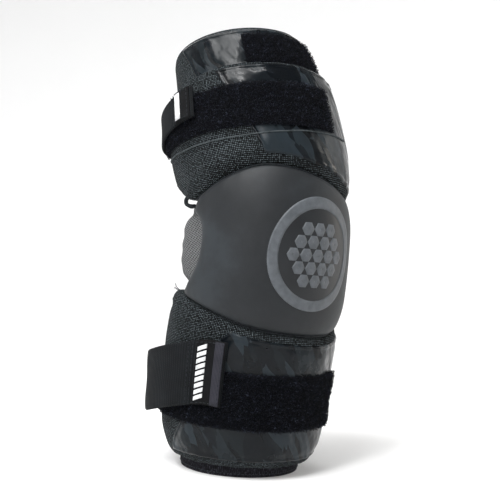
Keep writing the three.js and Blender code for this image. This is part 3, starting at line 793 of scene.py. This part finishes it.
def band_outline(share, width, left, right):
    half = width / ARM_LENGTH / 2
    return Outline(same(share - half), same(share + half), same(left), same(right))


# %% [markdown]
# A film is welded on by heat, which leaves a raised bead round it, then a groove, and then a
# middle that is puffed up and wrinkled along one slant.

# %% Films
FILM_THICKNESS = 0.8
FOREARM_FILM_SIDES = dict(at=[0, 0.30, 0.85, 1], left=[-98, -80, -61, -52], right=[66, 63, 60, 54])
UPPER_FILM_SIDES = dict(at=[0, 0.35, 1], left=[-36, -44, -61], right=[56, 62, 68])
BICEP_FILM_SIDES = dict(at=[0, 0.6, 1], left=[-80, -88, -95], right=[36, 32, 13])
FILM_INSET = 6 / ARM_LENGTH
FILMS = {
    "forearm_film": (side_outline(same(0.046), lambda a: lower_seam(a) - FILM_INSET, FOREARM_FILM_SIDES),
                     "forearm_guard", (110, 60)),
    "upper_film": (side_outline(lambda a: upper_seam(a) + FILM_INSET, lambda a: upper_rim(a) - 0.006,
                                UPPER_FILM_SIDES), "upper_guard", (84, 52)),
    "bicep_film": (side_outline(lambda a: upper_rim(a) + 0.001, same(BICEP_HIGH - 0.008), BICEP_FILM_SIDES),
                   "bicep_cap", (84, 26)),
}


def make_film(name, outline, pad_name, grid):
    share, angle = outline.place(crowded(grid[0], 0.5), crowded(grid[1], 0.5))
    ground = drape(tree_of(pads[pad_name]), share, angle)
    edge = nearest_edge(outline, share, angle)
    bead = 0.75 * np.exp(-((edge - 1.4) / 0.8) ** 2)
    middle = 0.5 * np.clip((edge - 3.2) / 5, 0, 1)
    along, up = np.radians(angle) * WEAVE_RADIUS, share * ARM_LENGTH
    slant = along + 0.5 * up
    wrinkle = np.sin(slant / 4.2 + 1.2 * np.sin(up / 9)) * (0.5 + 0.5 * np.sin(along / 11 + up / 17 + 0.8))
    outer = ground + 0.3 + bead + middle * (1 + 0.95 * wrinkle)
    return make_slab(name + "_panel", share, angle, outer, ground + 0.05, GLOSS_FILM)


films = {name: make_film(name, *spec) for name, spec in FILMS.items()}
print("films", {name: len(obj.data.polygons) for name, obj in films.items()})

# %% [markdown]
# The loop bands are soft flat tapes sewn over the guard and its film. Draping with more
# rounds of evening out lets them bridge the fine wrinkles below.

# %% Loop bands
LOOP_THICKNESS = 2.0
BANDS = {
    "forearm_loop_band": (band_outline(0.185, 41, -128, 46), ("forearm_guard", "forearm_film"), (130, 20)),
    "upper_loop_band": (band_outline(0.797, 31, -128, 15), ("upper_guard", "upper_film"), (110, 16)),
    "bicep_loop_patch": (Outline(same(0.9), same(0.974), same(-38), lambda up: 34 - 12 * up * up),
                         ("bicep_cap", "bicep_film"), (56, 14)),
}
band_faces = {}


def make_band(name, outline, under, grid):
    share, angle = outline.place(crowded(grid[0], 0.3), crowded(grid[1], 0.5))
    below = [pads[under[0]], films[under[1]]]
    ground = drape(tree_of(*below), share, angle, passes=6)
    edge = nearest_edge(outline, share, angle)
    outer = ground + 0.3 + (LOOP_THICKNESS - 0.9) * rise(edge, 0.35, 2.5)
    band_faces[name] = (share, angle, outer - 0.1)
    return make_slab(name + "_backing", share, angle, outer, ground + 0.1, LOOP_PILE)


bands = {name: make_band(name, *spec) for name, spec in BANDS.items()}
print("bands", {name: len(obj.data.polygons) for name, obj in bands.items()})

# %% [markdown]
# The sleeve is a knit tube. At the inner elbow it gathers in small folds, and under the
# guards it lies flat. Its foot sits in a heathered rib binding, which the pad stands on.

# %% Sleeve and binding
SLEEVE_WALL = 2.2
SLEEVE_TOP = 290
SLEEVE_SLACK = 11
SLACK_START = 100
SLACK_FULL = 128
PINCH_SHARE = 0.598
SLEEVE_FORM = dict(at=[0.365, 0.414, 0.45, 0.52, 0.575, 0.608, 0.63, 0.68], slack=[0, 0, 0.75, 1, 0.9, 0.4, 0, 0])


def tube_grid(low, high, rows):
    """Shares and angles all round the arm form, a column every 2 degrees."""
    return np.meshgrid(np.linspace(low, high, rows), np.arange(180) * 2.0, indexing="ij")


share, angle = tube_grid((1.2 + LAYER_GAP) / ARM_LENGTH, SLEEVE_TOP / ARM_LENGTH, 150)
signed = (angle + 180) % 360 - 180
at_back = 1 / (1 + np.exp(-(np.abs(signed) - 112) / 6))
at_elbow = np.exp(-((share - 0.54) / 0.085) ** 2)
fold_phase = share * ARM_LENGTH / 13 * math.tau
fold_phase = fold_phase + 1.7 * np.sin(np.radians(signed * 2.0)) + 0.8 * np.sin(np.radians(signed * 5))
straight_behind = np.clip((np.abs(signed) - 132) / 26, 0, 1)
folds = (0.4 + 1.3 * straight_behind) * at_back * at_elbow * (np.sin(fold_phase) - 0.3)
behind = np.clip((np.abs(signed) - SLACK_START) / (SLACK_FULL - SLACK_START), 0, 1)
pinch = 1 - 0.4 * np.exp(-((share - PINCH_SHARE) / 0.011) ** 2)
slack = SLEEVE_SLACK * read_table(SLEEVE_FORM, "slack", share) * behind * behind * (3 - 2 * behind) * pinch
waves = 0.5 * at_back * (np.sin(share * 31 + np.radians(signed * 3)) - 0.5)
hem = 0.5 * np.exp(-((share * ARM_LENGTH - (SLEEVE_TOP - 6)) / 1.2) ** 2)
outer = slack + folds + waves - hem - 0.05
sleeve = make_slab("arm_sleeve_knit", share, angle, outer, outer - SLEEVE_WALL + 0.4, SLEEVE_KNIT, closed=True)

share, angle = tube_grid(0, binding_top_share, 14)
roll = 0.9 * np.sqrt(np.clip(1 - ((share * ARM_LENGTH - 6.2) / 6.8) ** 2, 0, 1)) + 0.12 * np.sin(np.radians(angle * 9))
binding = make_slab("wrist_binding_rib", share, angle, LAYER_GAP + 0.3 + roll, LAYER_GAP + 0.05, HEATHER, closed=True)
print("sleeve", len(sleeve.data.polygons), "binding", len(binding.data.polygons))

# %% [markdown]
# The straps are woven elastic. Each is sewn to the far guard, comes round the back, and its
# hooked end lies on the loop band. The wide one stands off the guard where it turns.

# %% Straps
STRAP_THICKNESS = 1.6
TAB_THICKNESS = 1.5
OVER_LAYERS = FILM_THICKNESS + 2 * LAYER_GAP + LOOP_THICKNESS
# by angle from the sewn end, over is 1 on the loop band and 0 on the guard, and bulge and
# drop are shares of the strap's own
FOREARM_STRAP = dict(share=0.242, width=46, bulge=7, drop=20, tab=(-70, -52), course=dict(
    at=[-240, -215, -180, -155, -128, -85, -65, -51], over=[0, 0, 0.1, 0.7, 1, 1, 1, 1],
    bulge=[0, 0, 0.1, 0.7, 1, 0.25, 0, 0], drop=[1, 1, 1, 1, 1, 0.3, 0, 0]))
UPPER_STRAP = dict(share=0.825, width=24, bulge=0.5, drop=5, tab=(-91, -78), course=dict(
    at=[-240, -215, -180, -150, -125, -89, -76], over=[0, 0, 0.1, 0.8, 1, 1, 1],
    bulge=[0, 0, 0, 0.6, 1, 0, 0], drop=[1, 1, 1, 1, 1, 0.1, 0]))


def strap_face(strap, angle):
    """Offset of a strap's inner face, which steps up onto the band and bulges at the turn."""
    over = read_table(strap["course"], "over", angle) * OVER_LAYERS
    bulge = read_table(strap["course"], "bulge", angle) * strap["bulge"]
    return PAD_GAP + GUARD_THICKNESS + over + bulge + LAYER_GAP


def strap_outline(strap, left, right):
    """The strap between two angles. Its course drops towards the back of the arm."""
    half = strap["width"] / 2 / ARM_LENGTH
    return Outline(lambda a: strap_middle(strap, a) - half, lambda a: strap_middle(strap, a) + half,
                   same(left), same(right))


def strap_middle(strap, angle):
    return strap["share"] - strap["drop"] * read_table(strap["course"], "drop", angle) / ARM_LENGTH


def tab_top(strap, angle):
    return strap_face(strap, angle) + STRAP_THICKNESS + TAB_THICKNESS


def make_strap(name, strap):
    outline = strap_outline(strap, strap["course"]["at"][0], strap["course"]["at"][-1])
    share, angle = outline.place(even(220), crowded(22, 0.5))
    inner = strap_face(strap, angle)
    low, high, left, right = outline.margins(share, angle)
    edge = np.minimum(np.minimum(low, high), right)
    sag = 0.35 * np.sin(np.radians(angle * 5)) * np.sin(share * 60)
    outer = inner + sag + STRAP_THICKNESS * rise(edge, 0.45, 1.2)
    return make_slab(name, share, angle, outer, inner + sag, WEBBING)


def make_tab(name, strap):
    outline = strap_outline(strap, *strap["tab"])
    share, angle = outline.place(crowded(24, 0.4), crowded(24, 0.4))
    inner = strap_face(strap, angle) + STRAP_THICKNESS
    outer = inner + TAB_THICKNESS * rise(nearest_edge(outline, share, angle), 0.5, 0.8)
    return make_slab(name, share, angle, outer, inner, STRIP)


forearm_strap = make_strap("forearm_strap_webbing", FOREARM_STRAP)
forearm_tab = make_tab("forearm_strap_strip", FOREARM_STRAP)
upper_strap = make_strap("upper_strap_webbing", UPPER_STRAP)
upper_tab = make_tab("upper_strap_strip", UPPER_STRAP)
print("strap ends", FOREARM_STRAP["tab"], UPPER_STRAP["tab"], "degrees")

# %% [markdown]
# The badge on the elbow is screen print: a dark disc, a grey ring, and a honeycomb of small
# hexagons in the middle. Each shape is a thin raised slab of ink laid on the cap.

# %% Badge
BADGE_SHARE = 0.5025
BADGE_ANGLE = -3.5
BADGE_SQUEEZE = 0.89
BADGE_RADIUS = 40.0
BADGE_ARC = ELBOW_HALF_DEPTH + ELBOW_THICKNESS
RING_WIDTH = 8.0
HEXAGON = 5.1
HEX_PITCH = 10.4
elbow_tree = tree_of(pads["elbow_cap"])


def ink(x0, y0, outer_radius, inner_radius, rings, sectors, lift, corners=None):
    """A raised disc or ring of ink, or a hexagon where corners are given. x and y are in mm
    from the badge's middle."""
    turn = np.arange(sectors) * math.tau / sectors
    stretch = np.ones(sectors)
    if corners:
        part = math.tau / corners
        stretch = math.cos(part / 2) / np.cos((turn + part / 2) % part - part / 2)
    radius = np.linspace(outer_radius, max(inner_radius, 0.02), rings)[:, None] * stretch
    x, y = x0 + radius * np.sin(turn), y0 - radius * np.cos(turn)
    share = BADGE_SHARE + y * BADGE_SQUEEZE / ARM_LENGTH
    angle = BADGE_ANGLE + np.degrees(x / BADGE_ARC)
    ground = drape(elbow_tree, share, angle, fallback=14.0, passes=0)
    return slab_parts(share, angle, ground + lift, ground + 0.02, closed=True)[:2]


disc = join_slabs("badge_disc_ink", [ink(0, 0, BADGE_RADIUS - 0.5, 0, 20, 96, 0.12)], PRINT_DARK)
rings = [ink(0, 0, BADGE_RADIUS, BADGE_RADIUS - RING_WIDTH, 6, 128, 0.32)]
for q in range(-2, 3):
    for r in range(-2, 3):
        if abs(q + r) <= 2:
            rings.append(ink(HEX_PITCH * (q + r / 2), HEX_PITCH * r * math.sqrt(3) / 2, HEXAGON, 0, 4, 24, 0.32, 6))
badge_print = join_slabs("badge_ring_ink", rings, PRINT_GREY)
print("badge hexagons", len(rings) - 1)

# %% [markdown]
# What repeats is made by geometry nodes. One tree scatters small nylon loops over the face of
# a band, and another sets a stitch at every few millimetres of a seam line. Each result is
# kept as a plain mesh, so the model needs no modifier to be read.

# %% Geometry node trees
def new_tree(name, **inputs):
    """A node tree with those inputs, add() bound to it, and the sockets it is given."""
    tree = bpy.data.node_groups.new(name, "GeometryNodeTree")
    for way in ("INPUT", "OUTPUT"):
        tree.interface.new_socket("Geometry", in_out=way, socket_type="NodeSocketGeometry")
    for key, value in inputs.items():
        kind = "NodeSocketInt" if isinstance(value, int) else "NodeSocketFloat"
        tree.interface.new_socket(key, in_out="INPUT", socket_type=kind).default_value = value
    return tree, partial(add, tree), tree.nodes.new("NodeGroupInput").outputs


def finish_tree(tree, put, points, instance, turn, scale, material):
    placed = put("GeometryNodeInstanceOnPoints", Points=points, Instance=instance, Rotation=turn, Scale=scale)
    real = put("GeometryNodeRealizeInstances", placed)
    coloured = put("GeometryNodeSetMaterial", real, Material=material)
    tree.links.new(coloured.outputs[0], tree.nodes.new("NodeGroupOutput").inputs[0])
    return tree


def pile_tree(material):
    """Nylon loops over a face. Height and Thickness are in metres, Density is per m2."""
    tree, put, given = new_tree("loop pile", Density=1.0e6, Height=0.0012, Thickness=0.0001, Seed=7)
    height = given["Height"]
    points = put("GeometryNodeDistributePointsOnFaces", Mesh=given["Geometry"], Density=given["Density"],
                 Seed=given["Seed"])
    foot, far_foot = (put(COMBINE, put("MULTIPLY", height, side)) for side in (-0.45, 0.45))
    crown = put(COMBINE, Z=put("MULTIPLY", height, 2.0))
    arch = put("GeometryNodeCurveQuadraticBezier", Resolution=2, Start=foot, Middle=crown, End=far_foot)
    section = put("GeometryNodeCurvePrimitiveCircle", Resolution=3, Radius=given["Thickness"])
    loop = put("GeometryNodeCurveToMesh", Curve=arch, Profile_Curve=section)
    # the random node's vector range comes first, and its plain range third and fourth
    lean = put("FunctionNodeRandomValue", (-0.7, -0.7, 0.0), (0.7, 0.7, math.tau), data_type="FLOAT_VECTOR", Seed=3)
    size = put("FunctionNodeRandomValue", None, None, 0.55, 1.35, data_type="FLOAT", Seed=5)
    turn = put("FunctionNodeRotateRotation", rotation_space="LOCAL", Rotation=points.outputs["Rotation"],
               Rotate_By=put("FunctionNodeEulerToRotation", lean))
    return finish_tree(tree, put, points, loop, turn, size.outputs[1], material)


def stitch_tree(material):
    """A stitch at every Pitch along seam lines. All three inputs are in metres."""
    tree, put, given = new_tree("stitches", Pitch=0.0032, Length=0.0023, Thickness=0.0006)
    line = put("GeometryNodeMeshToCurve", Mesh=given["Geometry"])
    points = put("GeometryNodeCurveToPoints", mode="LENGTH", Curve=line, Length=given["Pitch"])
    ball = put("GeometryNodeMeshUVSphere", Segments=6, Rings=5, Radius=0.5)
    size = put(COMBINE, given["Thickness"], given["Thickness"], given["Length"])
    stitch = put("GeometryNodeTransform", Geometry=ball, Scale=size)
    turn = put("FunctionNodeAlignRotationToVector", axis="Z", Vector=points.outputs["Tangent"])
    return finish_tree(tree, put, points, stitch, turn, (1.0, 1.0, 1.0), material)


def bake(obj, tree, **inputs):
    """Runs a tree on an object and keeps the result as its plain mesh."""
    modifier = obj.modifiers.new(tree.name, "NODES")
    modifier.node_group = tree
    for item in tree.interface.items_tree:
        if item.in_out == "INPUT" and item.name in inputs:
            modifier[item.identifier] = inputs[item.name]
    keep_result(obj)
    return obj


# %% [markdown]
# The loops stand on the face of each band, about one to a square millimetre. That is sparser
# than real pile, and the loops are coarser, so that they show at this distance.

# %% Pile on the bands
PILE_DENSITY = 1.0e6
LOOPS = pile_tree(FIBRE)


def make_pile(name):
    share, angle, outer = band_faces[name]
    quads, _ = grid_quads(share.shape[1], share.shape[0])
    face = make_mesh(name + "_pile", arm_point(share, angle, outer).reshape(-1, 3), quads)
    return bake(face, LOOPS, Density=PILE_DENSITY, Height=1.9 * MM, Thickness=0.15 * MM, Seed=7)


piles = {name: make_pile(name) for name in BANDS}
print("pile", {name: len(obj.data.polygons) for name, obj in piles.items()})

# %% [markdown]
# Cords run along the seams: a piping line crosses the upper guard below its band, and a dark cord sits deep in each of
# the two seam creases beside the elbow cap, as painted shade that also hides the gap between the pads. A cord is a
# tube along a path on the surface, with ends that taper in.

# %% Cords
def with_normals(points, above):
    out = above - points
    return points, out / np.linalg.norm(out, axis=1, keepdims=True)


def surface_path(trees, share, angle, lift):
    """Points lying lift mm above the outermost face, and the outward directions there."""
    share, angle = np.broadcast_arrays(share, angle)
    ground = drape(trees, share[None], angle[None], passes=1)[0]
    return with_normals(arm_point(share, angle, ground + lift), arm_point(share, angle, ground + lift + 1))


def tube_parts(path, out, radius, sides=8):
    along = np.gradient(path, axis=0)
    side = np.cross(along, out)
    side /= np.linalg.norm(side, axis=1, keepdims=True)
    ends = np.minimum(np.arange(len(path)), np.arange(len(path))[::-1]) / 3
    reach = radius * MM * np.sqrt(np.clip(ends, 0.02, 1))[:, None, None]
    turn = (np.arange(sides) * math.tau / sides)[None, :, None]
    ring = path[:, None] + reach * (np.cos(turn) * side[:, None] + np.sin(turn) * out[:, None])
    quads, _ = grid_quads(sides, len(path), closed=True, flip=True)
    return ring.reshape(-1, 3), quads


upper_ground = tree_of(pads["upper_guard"], films["upper_film"])
span = np.linspace(-128, 34, 150)
piping_share = 0.738 + 0.010 * np.sin(np.radians(span * 1.5 + 20))
piping = join_slabs("piping_cord", [tube_parts(*surface_path(upper_ground, piping_share, span, 0.25), 0.55)], PIPING)
# a dark cord deep in each seam crease beside the elbow cap: painted shade, which also hides the gap there
crease_shade_cords = []
for seam in (upper_seam, lower_seam):
    span = np.linspace(-97, 97, 160)
    path = with_normals(arm_point(seam(span), span, 7.6), arm_point(seam(span), span, 8.6))
    crease_shade_cords.append(tube_parts(*path, 1.1))
crease_shade_cords = join_slabs("seam_crease_shade_cords", crease_shade_cords, THREAD)


def free_cord(places, radius, count=24):
    """A cord through chosen (share, angle, offset) places, along a smooth curve."""
    stops = np.linspace(0, len(places) - 1, count)
    share, angle, offset = (
        read_table(dict(at=range(len(places)), value=column), "value", stops) for column in zip(*places))
    path = with_normals(arm_point(share, angle, offset), arm_point(share, angle, offset + 1))
    return tube_parts(*path, radius, sides=6)


tape_loop = join_slabs("pull_tape", [
    free_cord([(0.640, -110, 6), (0.630, -114, 9), (0.618, -115, 9), (0.611, -112, 6), (0.612, -108, 2)], 1.7),
], THREAD)
loose_threads = join_slabs("loose_threads", [
    free_cord([(0.404, -108, 9), (0.412, -113, 12), (0.421, -116, 13)], 0.28),
    free_cord([(0.403, -111, 8), (0.408, -119, 12), (0.406, -125, 13.5)], 0.25),
    free_cord([(0.400, -104, 10), (0.409, -108, 13.5), (0.414, -107, 15)], 0.25),
], THREAD)
print("cords", [obj.name for obj in (piping, crease_shade_cords, tape_loop, loose_threads)])

# %% [markdown]
# Stitches hold the bands, the strap ends and the binding. Each seam line is a chain of points
# on the finished surface, kept a little in from the edge that it follows.

# %% Stitches
def line_mesh(name, lines):
    """A mesh of edges only, one chain for each line of points."""
    starts = np.cumsum([0] + [len(line) for line in lines])
    edges = [(int(s) + i, int(s) + i + 1) for s, line in zip(starts, lines) for i in range(len(line) - 1)]
    mesh = bpy.data.meshes.new(name)
    mesh.from_pydata(np.concatenate(lines).tolist(), edges, [])
    return new_object(name, mesh)


def border_line(outline, inset, lift_at, count):
    """A line of points inset in mm round a patch: lower edge, right edge and upper edge."""
    across, up = np.linspace(0, 1, count), np.linspace(0, 1, 16)
    place = [(a, 0.0) for a in across] + [(1.0, u) for u in up[1:-1]] + [(a, 1.0) for a in across[::-1]]
    a, u = np.array(place).T
    angle = outline.left(u) + (outline.right(u) - outline.left(u)) * a
    degrees = math.degrees(inset / 66)
    angle = np.clip(angle, outline.left(u) + degrees, outline.right(u) - degrees)
    low, high = outline.low(angle), outline.high(angle)
    share = np.clip(low + (high - low) * u, low + inset / ARM_LENGTH, high - inset / ARM_LENGTH)
    return arm_point(share, angle, lift_at(share, angle))


def straight_line(share, angle, offset, count=20):
    share, angle = np.linspace(*share, count), np.full(count, angle)
    return arm_point(share, angle, offset(share, angle))


seam_lines = []
SEAM_INSET = 7.5 / ARM_LENGTH
span = np.linspace(-126, 126, 240)
for name in ("forearm_guard", "upper_guard"):
    outline = PADS[name]["outline"]
    edge = outline.high(span) - SEAM_INSET if name == "forearm_guard" else outline.low(span) + SEAM_INSET
    seam_lines.append(surface_path(tree_of(pads[name]), edge, span, 0.12)[0])
for strap in (FOREARM_STRAP, UPPER_STRAP):
    def on_tab(share, angle, strap=strap):
        return tab_top(strap, angle) + 0.12

    def on_strap(share, angle, strap=strap):
        return strap_face(strap, angle) + STRAP_THICKNESS + 0.1

    left, right = strap["tab"]
    half = strap["width"] / 2 / ARM_LENGTH * 0.94
    seam_lines.append(border_line(strap_outline(strap, left, right), 1.6, on_tab, 12))
    sewn_end = strap["course"]["at"][0]
    seam_lines.append(border_line(strap_outline(strap, sewn_end, sewn_end + 16), 1.8, on_strap, 16))
    for column in (left - 2.5, left - 5.0, sewn_end + 1.6):
        middle_share = float(strap_middle(strap, column))
        seam_lines.append(straight_line((middle_share - half, middle_share + half), column, on_strap))
stitches = bake(line_mesh("seam_stitches", seam_lines), stitch_tree(THREAD),
                Pitch=3.2 * MM, Length=2.4 * MM, Thickness=0.7 * MM)

rib_span = np.linspace(-180, 178, 200)
binding_rows = [arm_point(np.full(200, z / ARM_LENGTH), rib_span, LAYER_GAP + 1.15) for z in (2.6, 10.6)]
binding_stitches = bake(line_mesh("binding_stitches", binding_rows), stitch_tree(PIPING),
                        Pitch=2.6 * MM, Length=1.9 * MM, Thickness=0.55 * MM)
print("stitches", len(stitches.data.polygons), len(binding_stitches.data.polygons))

# %% [markdown]
# The strap ends carry plain woven labels: a row of slanted raised bars and a grey border on
# the wide one, and a bare light patch on the narrow one.

# %% Labels
BAR_COUNT = 9
BAR_HEIGHT = 3.0
BAR_PITCH = 4.4


def label_patch(strap, left, right, height, up_mm=0.0, slant=0.0, grid=6):
    """A thin raised patch on a strap end, from left to right in degrees, height in mm."""
    up, across = np.meshgrid(even(grid) - 0.5, even(grid), indexing="ij")
    angle = left + (right - left) * across
    place = strap_middle(strap, angle) + (up_mm + up * height + slant * (across - 0.5)) / ARM_LENGTH
    face = tab_top(strap, angle)
    return slab_parts(place, angle, face + 0.3, face - 0.1)


bars = [label_patch(FOREARM_STRAP, -68.2, -62.6, BAR_HEIGHT, (index - (BAR_COUNT - 1) / 2) * BAR_PITCH, slant=2.2)
        for index in range(BAR_COUNT)]
bars.append(label_patch(UPPER_STRAP, -90.2, -85.6, 20))
labels = join_slabs("label_marks", bars, LABEL_YARN)
border = join_slabs("label_border", [label_patch(FOREARM_STRAP, -57.6, -52.4, 45, grid=12)], BORDER_TAPE)
print("label bars", BAR_COUNT)

# %% [markdown]
# The floor is a pale round sweep that rises into a wall, so no horizon line shows from any
# side. Like backdrop paper lit from behind, it glows a little, which keeps the wall near
# white. A soft sun and a close, high softbox model the forms from the upper left, so the
# light falls off down the pad as in the photo. Narrow strips put long highlights on the
# films. The sky is dim, so black cloth stays black.

# %% Floor, lights and camera
FLOOR_HEX = "#f7f7f7"
PAPER_GLOW = 0.1
FLOOR_RADIUS, SWEEP_RADIUS, WALL_HEIGHT = 2.6, 1.8, 3.6
WHITE, WARM = (1, 1, 1), (1.0, 0.93, 0.82)
# azimuth and elevation in degrees, distance and size in metres, power in watts, colour
AREA_LIGHTS = {
    "key_softbox": (-80, 56, 0.72, (0.5, 0.6), 1.75, WHITE),
    "streak_strip": (-60, 38, 1.0, (0.05, 0.6), 4.2, WHITE),
    "side_strip": (-122, 6, 1.0, (0.05, 0.5), 0.9, WHITE),
    "overhead_strip": (-50, 74, 0.9, (0.5, 0.07), 2.8, WHITE),
    "edge_strip": (66, 14, 1.1, (0.05, 0.8), 1.9, WARM),
    "back_softbox": (165, 45, 1.5, (0.9, 0.9), 4.0, WHITE),
}
SUN_POWER, SUN_SPREAD, SUN_TILT, SUN_TURN = 2.0, 30, 38, -75
SKY_STRENGTH = 0.2


def make_floor():
    flat = np.linspace(0.001, FLOOR_RADIUS, 30)
    turn_up = np.linspace(0.05, math.pi / 2, 16)
    radius = np.concatenate([flat, FLOOR_RADIUS + SWEEP_RADIUS * np.sin(turn_up), [FLOOR_RADIUS + SWEEP_RADIUS]])
    height = np.concatenate([flat * 0, SWEEP_RADIUS * (1 - np.cos(turn_up)), [WALL_HEIGHT]])
    turn = np.arange(96) * math.tau / 96
    points = np.stack(np.broadcast_arrays(
        radius[:, None] * np.sin(turn), -radius[:, None] * np.cos(turn), height[:, None]), -1)
    quads, _ = grid_quads(96, len(radius), closed=True, flip=True)
    material, put = new_material("pale paper backdrop", 0.9, 0.2)
    shader = material.node_tree.nodes["Principled BSDF"]
    shader.inputs["Emission Color"].default_value = linear(FLOOR_HEX)
    shader.inputs["Emission Strength"].default_value = PAPER_GLOW
    mottle = put(NOISE, object_place(put), size_mm=900)
    dress(material, put, put(RAMP, mottle, stops=[(0.3, FLOOR_HEX), (0.7, "#f4f4f4")]))
    return make_mesh("studio_floor", points.reshape(-1, 3), quads, None, material)


def outward(azimuth, elevation):
    a, e = math.radians(azimuth), math.radians(elevation)
    return Vector((math.sin(a) * math.cos(e), -math.cos(a) * math.cos(e), math.sin(e)))


floor = make_floor()
middle = (cad_low + cad_high) / 2
for name, (azimuth, elevation, distance, size, power, colour) in AREA_LIGHTS.items():
    light = bpy.data.lights.new(name, "AREA")
    light.shape = "RECTANGLE"
    light.size, light.size_y = size
    light.energy, light.color = power, colour
    obj = new_object(name, light)
    back = outward(azimuth, elevation)
    obj.location = middle + back * distance
    obj.rotation_euler = (-back).to_track_quat("-Z", "Y").to_euler()
sun = bpy.data.lights.new("soft_sun", "SUN")
sun.energy, sun.angle = SUN_POWER, math.radians(SUN_SPREAD)
new_object("soft_sun", sun).rotation_euler = (math.radians(SUN_TILT), 0, math.radians(SUN_TURN))
world = bpy.data.worlds.new("studio sky")
world.use_nodes = True
world.node_tree.nodes["Background"].inputs["Color"].default_value = (1, 1, 1, 1)
world.node_tree.nodes["Background"].inputs["Strength"].default_value = SKY_STRENGTH
bpy.context.scene.world = world
bpy.context.scene.view_settings.view_transform = "Standard"
print("lights", len(AREA_LIGHTS) + 1)

# %% [markdown]
# The camera stands where the photo was taken from. Its place, pitch, roll and focal length
# were fitted until the pad's outline met the photo's.

# %% Camera
PHOTO_SIZE = 500
FOCAL_PIXELS = 829.5
CAMERA_AZIMUTH, CAMERA_DISTANCE, CAMERA_HEIGHT = -38, 650.3, 137.4
CAMERA_PITCH, CAMERA_ROLL, CAMERA_ASIDE = 2.52, 3.26, 1.25
camera_data = bpy.data.cameras.new("photo_camera")
camera_data.lens = FOCAL_PIXELS / PHOTO_SIZE * camera_data.sensor_width
camera_data.clip_start = 0.01
camera = new_object("photo_camera", camera_data)
stand = outward(CAMERA_AZIMUTH, 0) * CAMERA_DISTANCE + Vector((0, 0, CAMERA_HEIGHT))
aside = outward(CAMERA_AZIMUTH + 90, 0) * CAMERA_ASIDE
camera.location = (stand + aside) * MM + Vector(ORIGIN)
aim = -outward(CAMERA_AZIMUTH, -CAMERA_PITCH)
turned = aim.to_track_quat("-Z", "Y").to_matrix() @ Matrix.Rotation(math.radians(CAMERA_ROLL), 3, "Z")
camera.rotation_euler = turned.to_euler()
bpy.context.scene.camera = camera
print("camera at", [round(v, 3) for v in camera.location])

# %% [markdown]
# Each piece is tied to the body root, and the solid that it stands for is hidden. The floor is only for the picture.

# %% Ride, replace and finish
SLOTS = [(pads[name], slot, name) for name, slot in (
    ("forearm_guard", "mesh_cloth"), ("upper_guard", "mesh_cloth"),
    ("elbow_cap", "elbow_shell"), ("bicep_cap", "mesh_cloth"))]
SLOTS += [
    (sleeve, "knit", "arm_sleeve"), (binding, "heather_binding", "wrist_binding"),
    (forearm_strap, "webbing", "forearm_strap"), (forearm_tab, "strip", "forearm_strap_tab"),
    (upper_strap, "webbing", "upper_strap"), (upper_tab, "strip", "upper_strap_tab"),
    (disc, "badge_print", "elbow_badge"), (badge_print, "badge_print", "elbow_badge"),
]
SLOTS += [(obj, "gloss_film", name) for name, obj in films.items()]
SLOTS += [(obj, "loop_pile", name) for made in (bands, piles) for name, obj in made.items()]
SLOTS += [
    (piping, "mesh_cloth", "upper_guard"), (crease_shade_cords, "mesh_cloth", "elbow_cap"),
    (tape_loop, "webbing", "upper_guard"), (loose_threads, "mesh_cloth", "forearm_guard"),
    (stitches, "mesh_cloth", "upper_guard"), (binding_stitches, "heather_binding", "wrist_binding"),
    (labels, "strip", "forearm_strap_tab"), (border, "strip", "forearm_strap_tab"),
]
for obj, slot, node in SLOTS:
    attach(obj, "root")
    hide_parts(node)
